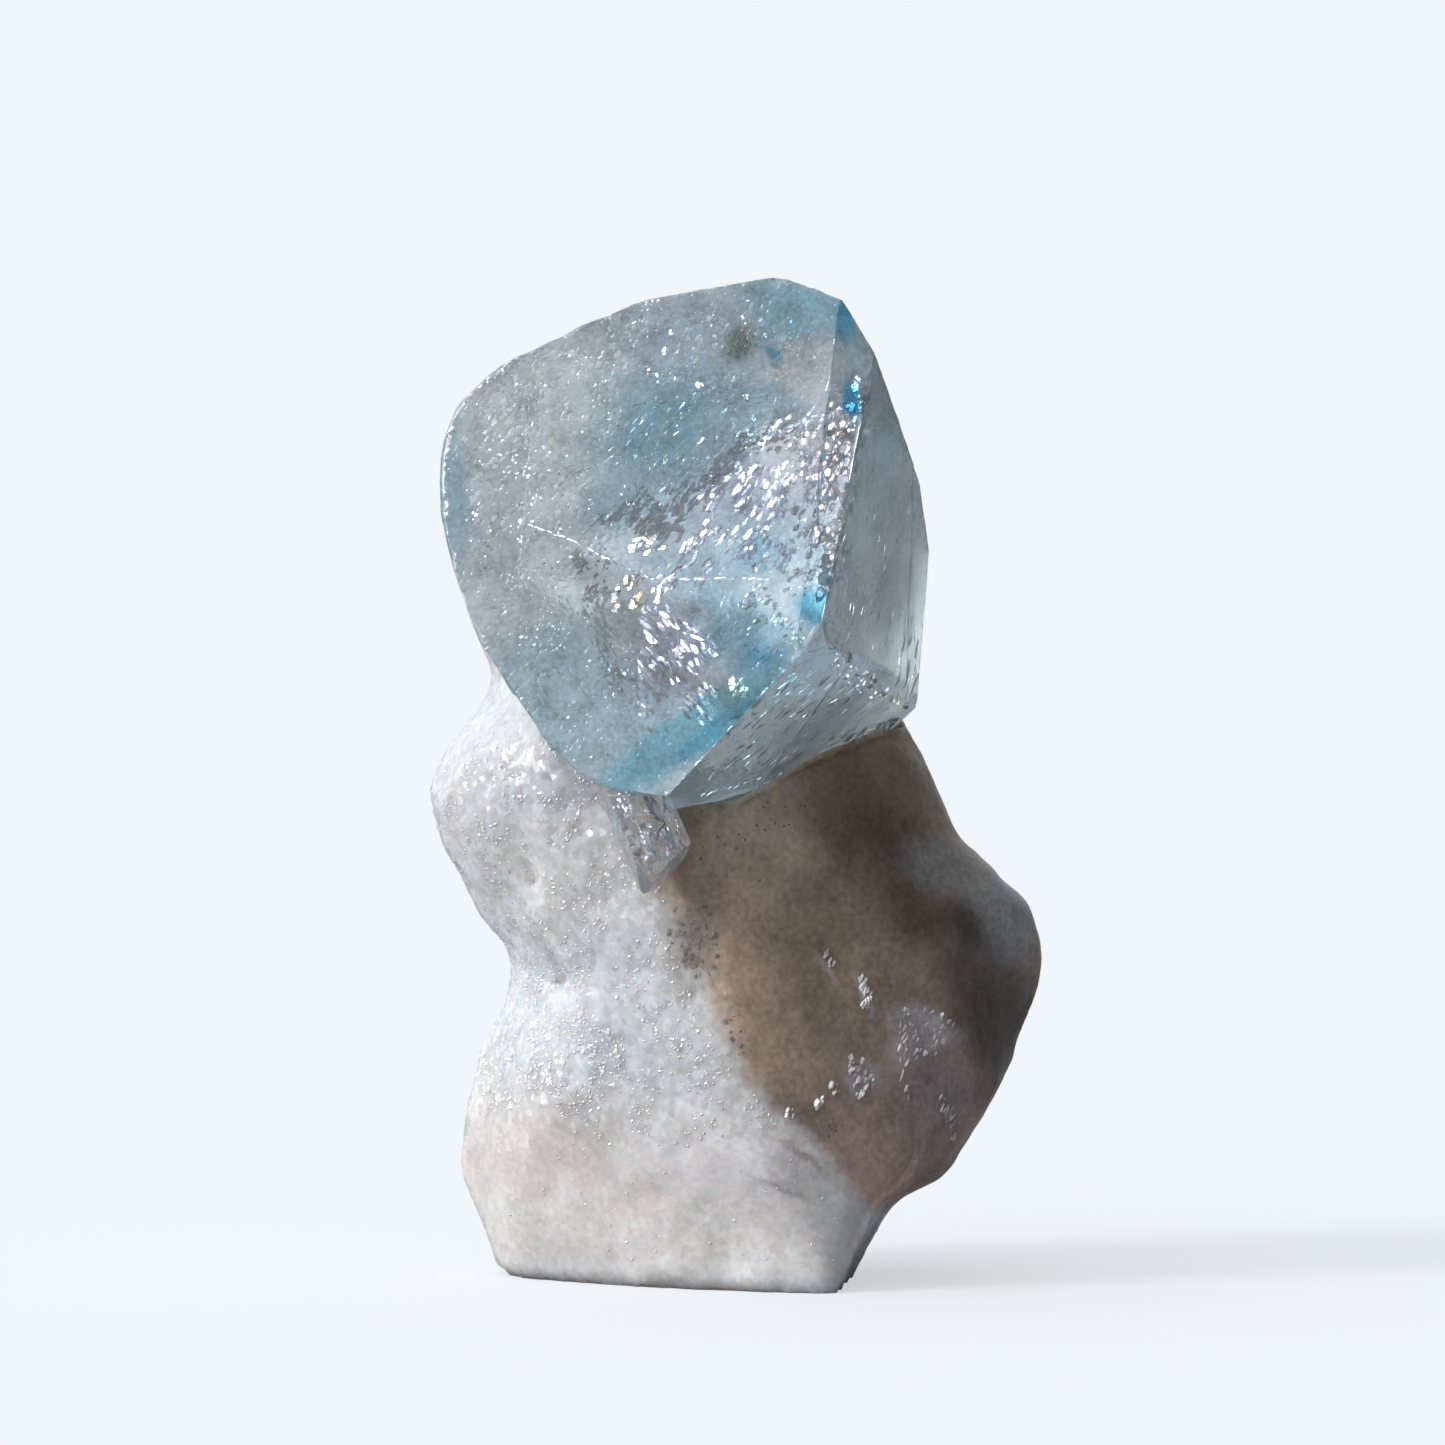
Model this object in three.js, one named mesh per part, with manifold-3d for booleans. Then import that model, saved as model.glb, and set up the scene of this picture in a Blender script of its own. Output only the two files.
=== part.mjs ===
// A euclase specimen: a clear, pale blue, blocky crystal with one large front face, seated in the top of a
// broken chunk of white feldspar and quartz, with a second, small clear crystal on the rock just below it.
// Millimetres, +Z up, the large front face towards -Y. The origin is the middle of the flat base.
import * as THREE from "three";
import { ImprovedNoise } from "three/addons/math/ImprovedNoise.js";
import { mergeVertices } from "three/addons/utils/BufferGeometryUtils.js";
import Module from "manifold-3d";

const wasm = await Module();
wasm.setup();

// ---- Driving dimensions -------------------------------------------------------------------------------

const SEAT_GAP = 0.1; // between a crystal and the rock that it grew on
const BLANK = 30; // side of the block that the crystal is cut from
const CUTTER = 90; // side of the block that cuts away what lies beyond a face
const MERGE_WITHIN = 1e-5; // corners this close together are one corner

// The large front face: where the crystal's nearest corner lies, and how the face runs back from it.
const NEAREST_CORNER = new THREE.Vector3(1.4, -4.4, 12.2);
const FRONT_RUN_LEFT = 0.42; // millimetres back for each millimetre to the left
const FRONT_RUN_UP = 0.28; // millimetres back for each millimetre up
const CRYSTAL_MIDDLE = new THREE.Vector3(-0.9, 0, 13.4);

// The rim of the front face, counter-clockwise. From each corner to the next runs one side face, which
// leans inwards by so many millimetres for each millimetre that it runs back.
const RIM = [
  { x: 2.42, z: 17.15, lean: 0.16 },
  { x: 1.87, z: 17.95, lean: 0.22 },
  { x: 0.73, z: 18.36, lean: 0.16 },
  { x: -1.75, z: 17.88, lean: 0.1 },
  { x: -4.38, z: 16.64, lean: 0.24 },
  { x: -5.1, z: 15.95, lean: 0.12 },
  { x: -5.38, z: 15.2, lean: 0.2 },
  { x: -5.42, z: 14.15, lean: 0.13 },
  { x: -5.22, z: 13.2, lean: 0.16 },
  { x: -4.72, z: 11.8, lean: 0.2 },
  { x: -3.25, z: 9.75, lean: 0.3 },
  { x: -2.85, z: 9.4, lean: 0.3 },
  { x: -2.47, z: 9.22, lean: 0.2 },
  { x: -1.29, z: 9.09, lean: 0 },
];

// To the right of this face, the crystal's foot reaches further down than the rim's last side face.
const FOOT_SIDE = { looks: [-0.888, 0, -0.46], through: [-1.29, -4, 9.09] };

// The narrow face along the ridge to the right of the front face: three places in the front view, and how
// far each one lies behind the front face.
const RIDGE_BEVEL = [
  { x: 1.73, z: 17.25, sink: 0 },
  { x: 1.18, z: 12.9, sink: 0 },
  { x: 2.02, z: 14.84, sink: 0.3 },
];

// The crystal's other faces: the way each one looks, and a point that it passes through.
const RIGHT_FACE = { looks: [0.911, -0.405, -0.086], through: [1.58, -4.09, 12.47] };
const BOTTOM_FACE = { looks: [0.627, -0.456, -0.631], through: [1.24, -4.44, 11.82] };
const CORNER_BEVEL = { looks: [0.72, -0.62, -0.3], through: [1.42, -4.25, 12.1] };
const FAR_RIGHT_FACE = { looks: [0.99, 0.1, -0.07], through: [3.46, 0.03, 13] };
const RIGHT_SHOULDER = { looks: [0.98, 0.1, 0.195], through: [3.36, 0.03, 13.86] };
const FAR_SIDE = [
  { looks: [0.87, 0.16, 0.46], through: [2.47, -3.2, 16.99] },
  { looks: [0.8, 0.58, 0.1], through: [3.3, 2.25, 13] },
  { looks: [0.36, 0.78, -0.51], through: [3.41, 1.36, 11.6] },
  { looks: [0.157, 0.098, -0.983], through: [-0.89, -3.12, 8.75] },
  { looks: [0.409, 0.091, -0.908], through: [2.45, 0.09, 9.75] },
  { looks: [-0.1, 0.98, 0.15], through: [-1.9, 4.2, 12.8] },
  { looks: [0.05, 0.72, 0.69], through: [0, 3.1, 16.5] },
  { looks: [-0.72, 0.68, 0.1], through: [-3.6, 3.1, 14] },
  { looks: [-0.5, 0.55, -0.67], through: [-3.1, 2.6, 11] },
];

// Growth steps: the part of a face that lies beyond an edge is one step lower.
const STEPS = [
  { face: RIGHT_FACE, edge: { looks: [0.45, 0.9, 0.12], through: [3.1, -0.57, 12] }, height: 0.06 },
  { face: BOTTOM_FACE, edge: { looks: [0.55, 0.83, -0.05], through: [1.2, -2.3, 10.2] }, height: 0.08 },
  { face: FAR_SIDE[2], edge: { looks: [0.75, -0.3, 0.6], through: [1.1, 2.9, 13.1] }, height: 0.12 },
  { face: FAR_SIDE[5], edge: { looks: [0.2, 0, 0.98], through: [-1.5, 4, 14.6] }, height: 0.1 },
  { face: FAR_SIDE[5], edge: { looks: [-0.9, 0, -0.4], through: [-2.4, 4, 13.6] }, height: 0.14 },
  { face: FAR_SIDE[6], edge: { looks: [0.9, 0.2, -0.3], through: [0.6, 2.9, 16.4] }, height: 0.1 },
];

// The rock, level by level: its left and right edge, the ridge down its front, and its front and back.
const ROCK_LEVELS = [
  { z: -1.2, left: -3.9, right: 1.6, ridge: 1.2, front: -2.4, back: 2.6 },
  { z: 0.4, left: -4.45, right: 2.27, ridge: 1.8, front: -2.8, back: 3.0 },
  { z: 1.3, left: -4.85, right: 2.75, ridge: 2.1, front: -3.1, back: 3.3 },
  { z: 1.95, left: -5.04, right: 3.9, ridge: 1.85, front: -3.2, back: 3.5 },
  { z: 2.8, left: -4.99, right: 4.45, ridge: 0.95, front: -3.3, back: 3.7 },
  { z: 4.05, left: -4.7, right: 5.03, ridge: 0.1, front: -3.3, back: 3.9 },
  { z: 5.2, left: -4.15, right: 5.52, ridge: -0.6, front: -3.2, back: 4.1 },
  { z: 5.95, left: -4.1, right: 5.63, ridge: -1.05, front: -3.1, back: 4.2 },
  { z: 6.66, left: -4.75, right: 5.42, ridge: -1.35, front: -3.1, back: 4.2 },
  { z: 7.35, left: -5.0, right: 4.75, ridge: -1.65, front: -3.1, back: 4.2 },
  { z: 8.0, left: -5.35, right: 4.05, ridge: -1.95, front: -3.1, back: 4.1 },
  { z: 8.85, left: -5.68, right: 3.68, ridge: -2.1, front: -3.1, back: 4.0 },
  { z: 9.45, left: -5.45, right: 3.4, ridge: -2.2, front: -2.9, back: 3.9 },
  { z: 9.9, left: -5.1, right: 3.2, ridge: -2.3, front: -2.6, back: 3.9 },
  { z: 10.4, left: -4.66, right: 2.95, ridge: -2.5, front: -2.1, back: 3.9 },
  { z: 11.0, left: -4.5, right: 2.3, ridge: -2.5, front: -1.6, back: 4.0 },
  { z: 11.6, left: -4.75, right: 1.7, ridge: -2.5, front: -1.1, back: 4.2 },
  { z: 12.4, left: -5.0, right: 0.9, ridge: -2.8, front: -0.7, back: 4.3 },
  { z: 13.2, left: -3.7, right: 0.1, ridge: -2.3, front: 0.6, back: 4.3 },
  { z: 13.9, left: -3.2, right: -1.2, ridge: -2.2, front: 1.6, back: 4.2 },
];
const ROCK_MIDDLE_Y = 0.5; // the depth at which the rock is widest
const ROCK_SEGMENTS_ROUND = 66;
const ROCK_SEGMENTS_UP = 56;
const FRONT_SHARPNESS = 1.5; // below 2, a section's front comes to the ridge
const BACK_SHARPNESS = 2.5; // above 2, its back is boxy
const LUMP_HEIGHT = 0.75;
const LUMP_SIZE = 2.1;
const KNOB_HEIGHT = 0.34;
const KNOB_SIZE = 0.95;
const EDGE_LUMPS = 0.15; // share of the lumps' height at the rock's left and right edges
const BASE_SHARE = 12; // the rock closes below within this part of its height
const TOP_SHARE = 14; // and above within this part

// The flat faces along which the rock broke: the way each one looks, and a point that it passes through.
const FRACTURES = [
  { looks: [-0.58, -0.81, 0.06], through: [-2.5, -2.85, 7.6] },
  { looks: [-0.42, -0.9, -0.09], through: [0.1, -3.05, 2.6] },
  { looks: [-0.12, -0.97, 0.2], through: [-0.9, -3.15, 5.0] },
  { looks: [0.4, -0.91, 0.07], through: [0.6, -2.8, 6.2] },
  { looks: [0.52, -0.84, 0.1], through: [3.3, -1.75, 4.2] },
  { looks: [0.16, -0.93, 0.32], through: [-0.4, -2.85, 8.3] },
  { looks: [0.6, 0.79, -0.1], through: [3.7, 2.5, 6.4] },
  { looks: [0.42, 0.88, 0.22], through: [1.9, 3.5, 7.4] },
  { looks: [0.02, 0.98, -0.18], through: [-0.6, 3.8, 5.0] },
  { looks: [-0.5, 0.86, -0.06], through: [-2.8, 3.2, 4.4] },
  { looks: [-0.6, 0.77, 0.2], through: [-3.8, 2.9, 9.2] },
  { looks: [-0.15, 0.9, 0.4], through: [-1.6, 4.1, 11.2] },
];

// Broken edges of the rock. Feldspar breaks along two sets of planes that are almost square to each other,
// so its ledges are the corners of blocks that all lie the same way. The pits are where grains fell out.
const CLEAVAGE_TURN = new THREE.Euler(0.35, -0.5, 0.42);
const LEDGES = { count: 40, smallest: 0.9, largest: 2.6, shallowest: 0.3, deepest: 0.72, seed: 11 };
const LOWEST_BREAK = 0.8;
const HIGHEST_BREAK = 13.2;
const PITS = { count: 26, smallest: 0.14, largest: 0.3, seed: 57 };

// The pits beside the ridge down the front, in the front view.
const FRONT_PITS = [
  { x: -0.95, z: 6.75, radius: 0.16 },
  { x: -0.7, z: 6.6, radius: 0.2 },
  { x: -0.45, z: 6.8, radius: 0.14 },
  { x: -0.85, z: 6.35, radius: 0.22 },
  { x: -0.55, z: 6.2, radius: 0.17 },
  { x: -0.75, z: 5.95, radius: 0.19 },
  { x: -0.4, z: 5.85, radius: 0.13 },
  { x: -0.05, z: 4.65, radius: 0.15 },
  { x: -0.02, z: 4.4, radius: 0.12 },
  { x: 0.15, z: 8.55, radius: 0.12 },
];

// The small crystal: a six-sided prism with a slanting end, leaning to the right on the front of the rock.
const SMALL = {
  centre: new THREE.Vector3(-1.65, -3.2, 8.55),
  axis: new THREE.Vector3(0.4, -0.12, -0.9).normalize(),
  radius: 0.58,
  length: 2.3,
  depthShare: 1.3,
  turn: THREE.MathUtils.degToRad(12),
  endFaces: [
    { looks: [0.75, -0.2, -0.63], distance: 0.84 },
    { looks: [-0.25, -0.75, -0.6], distance: 0.86 },
    { looks: [0.35, -0.93, 0.1], distance: 0.62 },
    { looks: [-0.3, 0.1, 0.95], distance: 0.75 },
  ],
};

// ---- Solids -------------------------------------------------------------------------------------------

/** A closed three.js geometry as a solid that can be joined and cut. */
function toSolid(geometry) {
  const bare = geometry.clone();
  bare.deleteAttribute("normal");
  bare.deleteAttribute("uv");
  const merged = mergeVertices(bare, MERGE_WITHIN);
  return new wasm.Manifold(
    new wasm.Mesh({
      numProp: 3,
      vertProperties: merged.attributes.position.array,
      triVerts: new Uint32Array(merged.index.array),
    }),
  );
}

/** The same solid as a three.js geometry with flat faces. */
function toGeometry(solid) {
  const mesh = solid.getMesh();
  const indexed = new THREE.BufferGeometry();
  indexed.setAttribute(
    "position",
    new THREE.BufferAttribute(new Float32Array(mesh.vertProperties), 3),
  );
  indexed.setIndex(new THREE.BufferAttribute(new Uint32Array(mesh.triVerts), 1));
  const flat = indexed.toNonIndexed();
  flat.computeVertexNormals();
  return flat;
}

/** A plane through three corners of a crystal, facing away from the crystal's middle. */
function faceThrough(a, b, c, middle) {
  const plane = new THREE.Plane().setFromCoplanarPoints(a, b, c);
  return plane.distanceToPoint(middle) > 0 ? plane.negate() : plane;
}

/** A plane that looks a given way, at a distance from the crystal's middle. */
function faceLooking(looks, distance, middle) {
  const normal = new THREE.Vector3(...looks).normalize();
  const foot = middle.clone().addScaledVector(normal, distance);
  return new THREE.Plane().setFromNormalAndCoplanarPoint(normal, foot);
}

/** The block of space that lies beyond a plane, moved out by a margin. */
function beyond(plane, margin = 0) {
  const block = new THREE.BoxGeometry(CUTTER, CUTTER, CUTTER);
  block.translate(0, 0, CUTTER / 2);
  const turn = new THREE.Quaternion().setFromUnitVectors(
    new THREE.Vector3(0, 0, 1),
    plane.normal,
  );
  const foot = plane.projectPoint(CRYSTAL_MIDDLE, new THREE.Vector3());
  foot.addScaledVector(plane.normal, margin);
  const place = new THREE.Matrix4().compose(foot, turn, new THREE.Vector3(1, 1, 1));
  return toSolid(block.applyMatrix4(place));
}

// ---- The large crystal --------------------------------------------------------------------------------

/** The point of the large front face at a place in the front view. */
function onFront({ x, z }) {
  const back =
    FRONT_RUN_LEFT * (NEAREST_CORNER.x - x) + FRONT_RUN_UP * (z - NEAREST_CORNER.z);
  return new THREE.Vector3(x, NEAREST_CORNER.y + back, z);
}

/** The plane of the narrow face along the ridge. */
function ridgeBevel() {
  const [a, b, c] = RIDGE_BEVEL.map((place) => {
    const point = onFront(place);
    point.y += place.sink;
    return point;
  });
  return faceThrough(a, b, c, CRYSTAL_MIDDLE);
}

/** The plane of a face, given by the way it looks and a point that it passes through. */
function faceOf({ looks, through }) {
  return new THREE.Plane().setFromNormalAndCoplanarPoint(
    new THREE.Vector3(...looks).normalize(),
    new THREE.Vector3(...through),
  );
}

/** The side face that runs back from the front face's rim between two of its corners. */
function sideFace(corner, next) {
  const from = onFront(corner);
  const along = onFront(next).sub(from);
  const inwards = new THREE.Vector3(-along.z, 0, along.x).normalize();
  const backwards = new THREE.Vector3(0, 1, 0).addScaledVector(inwards, corner.lean);
  return faceThrough(
    from,
    from.clone().add(along),
    from.clone().add(backwards),
    CRYSTAL_MIDDLE,
  );
}

/** The large crystal, with every face moved outwards by a margin. */
function crystalSolid(margin) {
  const front = faceThrough(
    onFront(RIM[0]),
    onFront(RIM[4]),
    onFront(RIM[8]),
    CRYSTAL_MIDDLE,
  );
  const sides = RIM.slice(0, -1).map((corner, i) => sideFace(corner, RIM[i + 1]));
  const lowestSide = sides.pop();
  const others = [RIGHT_FACE, BOTTOM_FACE, CORNER_BEVEL, FAR_RIGHT_FACE, RIGHT_SHOULDER, ...FAR_SIDE];
  const faces = [front, ...sides, ridgeBevel(), ...others.map(faceOf)];
  const blank = new THREE.BoxGeometry(BLANK, BLANK, BLANK);
  blank.translate(...CRYSTAL_MIDDLE);
  let solid = toSolid(blank);
  for (const face of faces) {
    solid = solid.subtract(beyond(face, margin));
  }
  const leftOfFoot = beyond(faceOf(FOOT_SIDE), margin);
  solid = solid.subtract(beyond(lowestSide, margin).intersect(leftOfFoot));
  for (const { face, edge, height } of STEPS) {
    const sunk = beyond(faceOf(face), margin - height).intersect(beyond(faceOf(edge), margin));
    solid = solid.subtract(sunk);
  }
  return solid;
}

// ---- The small crystal --------------------------------------------------------------------------------

/** The small crystal, with every face moved outwards by a margin. */
function smallCrystalSolid(margin) {
  const radius = SMALL.radius + margin;
  const length = SMALL.length + 2 * margin;
  const geometry = new THREE.CylinderGeometry(radius, radius, length, 6, 1);
  geometry.rotateY(SMALL.turn);
  geometry.scale(1, 1, SMALL.depthShare);
  const turn = new THREE.Quaternion().setFromUnitVectors(
    new THREE.Vector3(0, 1, 0),
    SMALL.axis,
  );
  geometry.applyQuaternion(turn);
  geometry.translate(...SMALL.centre);
  let solid = toSolid(geometry);
  for (const { looks, distance } of SMALL.endFaces) {
    solid = solid.subtract(beyond(faceLooking(looks, distance, SMALL.centre), margin));
  }
  return solid;
}

// ---- The rock -----------------------------------------------------------------------------------------

/** A value of the rock's levels at a height, on a smooth curve through the levels. */
function levelValue(key, z) {
  const last = ROCK_LEVELS.length - 1;
  if (z <= ROCK_LEVELS[0].z) {
    return ROCK_LEVELS[0][key];
  }
  if (z >= ROCK_LEVELS[last].z) {
    return ROCK_LEVELS[last][key];
  }
  const next = ROCK_LEVELS.findIndex((level) => level.z > z);
  const below = ROCK_LEVELS[next - 1];
  const above = ROCK_LEVELS[next];
  const share = (z - below.z) / (above.z - below.z);
  const eased = THREE.MathUtils.lerp(share, share * share * (3 - 2 * share), 0.5);
  return THREE.MathUtils.lerp(below[key], above[key], eased);
}

/** A signed power, which squares or points an ellipse. */
function signedPower(value, exponent) {
  return Math.sign(value) * Math.abs(value) ** exponent;
}

/** The point of the rock's skin at an angle round it, a height, and a share of the section's size. */
function rockPoint(angle, z, size) {
  const c = Math.cos(angle);
  const s = Math.sin(angle);
  const ridge = levelValue("ridge", z);
  const halfWidth = c > 0 ? levelValue("right", z) - ridge : ridge - levelValue("left", z);
  const halfDepth =
    s > 0 ? levelValue("back", z) - ROCK_MIDDLE_Y : ROCK_MIDDLE_Y - levelValue("front", z);
  const exponent = 2 / (s > 0 ? BACK_SHARPNESS : FRONT_SHARPNESS);
  return new THREE.Vector3(
    ridge + size * halfWidth * signedPower(c, exponent),
    ROCK_MIDDLE_Y + size * halfDepth * signedPower(s, exponent),
    z,
  );
}

/** The lumps and knobs of broken rock: how far the skin stands out at a point. */
function lumpHeight(point) {
  const noise = new ImprovedNoise();
  const at = (size, shift) => noise.noise(point.x / size + shift, point.y / size, point.z / size);
  return LUMP_HEIGHT * at(LUMP_SIZE, 3.7) + KNOB_HEIGHT * at(KNOB_SIZE, 11.2);
}

/** A seeded random number between two limits. */
function between(low, high) {
  return THREE.MathUtils.lerp(low, high, THREE.MathUtils.seededRandom());
}

/** A random place on the rock's skin, away from its base and its top, and the way out from it. */
function placeOnRock() {
  const z = between(LOWEST_BREAK, HIGHEST_BREAK);
  const angle = between(0, 2 * Math.PI);
  const point = rockPoint(angle, z, 1);
  const outwards = new THREE.Vector3(
    point.x - levelValue("ridge", z),
    point.y - ROCK_MIDDLE_Y,
    0,
  ).normalize();
  return { point, outwards };
}

/** The blocks that broke away and left ledges. The rock's right-hand side broke smooth, with none. */
function ledgeBlocks() {
  THREE.MathUtils.seededRandom(LEDGES.seed);
  const turn = new THREE.Quaternion().setFromEuler(CLEAVAGE_TURN);
  const blocks = [];
  for (let i = 0; i < LEDGES.count; i++) {
    const { point, outwards } = placeOnRock();
    const sides = [0, 1, 2].map(() => between(LEDGES.smallest, LEDGES.largest));
    const depth = between(LEDGES.shallowest, LEDGES.deepest);
    if (outwards.x > 0.2 || outwards.x < -0.9) {
      continue;
    }
    const block = new THREE.BoxGeometry(...sides);
    // The block's innermost corner lies at the ledge's depth below the skin.
    const inwards = outwards.clone().negate().applyQuaternion(turn.clone().invert());
    const corner = new THREE.Vector3(
      (Math.sign(inwards.x) * sides[0]) / 2,
      (Math.sign(inwards.y) * sides[1]) / 2,
      (Math.sign(inwards.z) * sides[2]) / 2,
    );
    block.translate(-corner.x, -corner.y, -corner.z);
    block.applyQuaternion(turn);
    block.translate(...point.clone().addScaledVector(outwards, -depth));
    blocks.push(toSolid(block));
  }
  return blocks;
}

/** The rock's skin in front at a place in the front view, after it broke along its flat faces. */
function frontOfRock(x, z) {
  const ridge = levelValue("ridge", z);
  const halfWidth = x > ridge ? levelValue("right", z) - ridge : ridge - levelValue("left", z);
  const halfDepth = ROCK_MIDDLE_Y - levelValue("front", z);
  const share = 1 - Math.abs((x - ridge) / halfWidth) ** FRONT_SHARPNESS;
  const skin = [ROCK_MIDDLE_Y - halfDepth * share ** (1 / FRONT_SHARPNESS)];
  for (const { normal, constant } of FRACTURES.map(faceOf)) {
    if (normal.y < 0) {
      skin.push(-(constant + normal.x * x + normal.z * z) / normal.y);
    }
  }
  return new THREE.Vector3(x, Math.max(...skin), z);
}

/** The grains that fell out and left pits: anywhere on the far side, and a few beside the ridge in front. */
function pitGrains() {
  THREE.MathUtils.seededRandom(PITS.seed);
  const grains = [];
  for (let i = 0; i < PITS.count; i++) {
    const { point, outwards } = placeOnRock();
    const grain = new THREE.IcosahedronGeometry(between(PITS.smallest, PITS.largest), 1);
    grain.scale(1, 1, between(0.6, 1.3));
    if (outwards.y < 0) {
      continue;
    }
    grain.translate(...point);
    grains.push(toSolid(grain));
  }
  for (const { x, z, radius } of FRONT_PITS) {
    const grain = new THREE.IcosahedronGeometry(radius, 1);
    grain.translate(...frontOfRock(x, z));
    grains.push(toSolid(grain));
  }
  return grains;
}

/** The rock before the crystals' seats are cut: a sphere's grid laid over the levels, cut off flat below. */
function rockSolid() {
  const geometry = new THREE.SphereGeometry(1, ROCK_SEGMENTS_ROUND, ROCK_SEGMENTS_UP);
  const skin = geometry.attributes.position;
  const bottom = ROCK_LEVELS[0].z;
  const top = ROCK_LEVELS[ROCK_LEVELS.length - 1].z;
  for (let i = 0; i < skin.count; i++) {
    const [x, up, y] = [skin.getX(i), skin.getY(i), skin.getZ(i)];
    const rise = Math.acos(THREE.MathUtils.clamp(-up, -1, 1)) / Math.PI;
    const z = bottom + (top - bottom) * rise;
    const ends = Math.min(1, BASE_SHARE * rise) * Math.min(1, TOP_SHARE * (1 - rise));
    const point = rockPoint(Math.atan2(-y, x), z, Math.sqrt(ends));
    const across = Math.abs(y) / Math.max(Math.hypot(x, y), 1e-6);
    const away = new THREE.Vector3(point.x - levelValue("ridge", z), point.y - ROCK_MIDDLE_Y, 0);
    const push = ends * THREE.MathUtils.lerp(EDGE_LUMPS, 1, across) * lumpHeight(point);
    point.addScaledVector(away.normalize(), push);
    skin.setXYZ(i, point.x, point.y, point.z);
  }
  let solid = toSolid(geometry);
  for (const fracture of FRACTURES.map(faceOf)) {
    solid = solid.subtract(beyond(fracture));
  }
  for (const broken of [...ledgeBlocks(), ...pitGrains()]) {
    solid = solid.subtract(broken);
  }
  const ground = new THREE.Plane(new THREE.Vector3(0, 0, -1), 0);
  return solid.subtract(beyond(ground));
}

// ---- The specimen -------------------------------------------------------------------------------------

/** A named piece with its finish. */
function piece(name, solid, colour, roughness) {
  const finish = new THREE.MeshStandardMaterial({ color: colour, roughness, metalness: 0 });
  const mesh = new THREE.Mesh(toGeometry(solid), finish);
  mesh.name = name;
  return mesh;
}

const largeCrystal = crystalSolid(0);
const largeSeat = crystalSolid(SEAT_GAP);
const smallCrystal = smallCrystalSolid(0).subtract(largeSeat);
const rock = rockSolid().subtract(largeSeat).subtract(smallCrystalSolid(SEAT_GAP));

const specimen = new THREE.Group();
specimen.add(piece("euclase_crystal", largeCrystal, 0x9dbcc8, 0.08));
specimen.add(piece("small_crystal", smallCrystal, 0xc4cfd2, 0.1));
specimen.add(piece("matrix", rock, 0xcfcac6, 0.65));

// The origin is the middle of the specimen's bounding box, at the height of its base.
const extent = new THREE.Box3().setFromObject(specimen);
const middle = extent.getCenter(new THREE.Vector3());
specimen.position.set(-middle.x, -middle.y, -extent.min.z);

export default specimen;
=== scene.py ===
"""A pale blue euclase crystal on its feldspar and quartz matrix, with a small clear crystal beside it."""

import math
import random

import bmesh
import bpy
import numpy as np
from mathutils import Matrix, Vector, noise
from mathutils.bvhtree import BVHTree


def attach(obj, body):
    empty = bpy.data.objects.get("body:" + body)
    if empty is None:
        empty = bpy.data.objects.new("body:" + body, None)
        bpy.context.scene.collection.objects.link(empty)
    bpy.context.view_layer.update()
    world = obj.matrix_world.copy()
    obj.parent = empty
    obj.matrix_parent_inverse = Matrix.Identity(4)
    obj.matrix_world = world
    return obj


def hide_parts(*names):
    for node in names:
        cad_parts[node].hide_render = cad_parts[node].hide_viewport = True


MM = 0.001
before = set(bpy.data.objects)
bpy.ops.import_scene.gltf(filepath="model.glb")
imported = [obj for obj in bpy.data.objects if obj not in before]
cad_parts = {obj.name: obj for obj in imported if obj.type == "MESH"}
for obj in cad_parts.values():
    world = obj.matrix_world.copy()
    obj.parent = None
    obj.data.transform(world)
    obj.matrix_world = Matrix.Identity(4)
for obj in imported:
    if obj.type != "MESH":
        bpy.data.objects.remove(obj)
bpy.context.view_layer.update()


# ---------------------------------------------------------------- camera, floor and lights

AIM = Vector((-0.245, 0.0, 10.14)) * MM
VIEW_UP = math.radians(4)
FIELD = 26.27 * MM
LENS = 400
PALE = (0.871, 0.905, 0.939)
FLOOR_HALF_WIDTH = 4
FLOOR_COLOUR = (0.30, 0.31, 0.32)
FLOOR_GLOW = (0.566, 0.58, 0.59)
WIDE_LIGHT_TOWARDS = (-0.62, -0.25, 0.75)
DIM_SIDE = (0.11, 0.11, 0.11)
LIT_SIDE = (2.0, 2.1, 2.2)
BETWEEN_SIDES = [(0.5, (0.15, 0.152, 0.155)), (0.78, (0.3, 0.325, 0.35)), (0.92, (0.85, 0.92, 1.0))]
BACK_LIGHT_TOWARDS = (-0.15, 0.93, 0.3)
BACK_LIGHT = (0.58, 0.645, 0.69)
KEY_TOWARDS = Vector((-0.85, -0.3, 0.43)).normalized()
KEY_STRENGTH = 2.1
KEY_WIDTH = 20
KEY_COLOUR = (1.0, 0.985, 0.96)


def bring_in(name, data):
    made = bpy.data.objects.new(name, data)
    bpy.context.scene.collection.objects.link(made)
    return made


def place_camera():
    data = bpy.data.cameras.new("camera")
    data.lens = LENS
    data.clip_start, data.clip_end = 0.005, 20
    camera = bring_in("camera", data)
    back = Vector((0, -math.cos(VIEW_UP), math.sin(VIEW_UP)))
    camera.location = AIM + back * (FIELD * LENS / data.sensor_width)
    camera.rotation_euler = (math.radians(90) - VIEW_UP, 0, 0)
    bpy.context.scene.camera = camera


def feed(tree, socket, value):
    """Gives a socket another socket to read, or a plain number, vector or colour."""
    if isinstance(value, bpy.types.NodeSocket):
        tree.links.new(value, socket)
    elif socket.type == "RGBA" and len(value) == 3:
        socket.default_value = (*value, 1)
    else:
        socket.default_value = value


def dress(tree, made, **values):
    """Feeds a node's sockets by name, with Base_Color for Base Color."""
    for name, value in values.items():
        feed(tree, made.inputs[name.replace("_", " ")], value)


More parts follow.
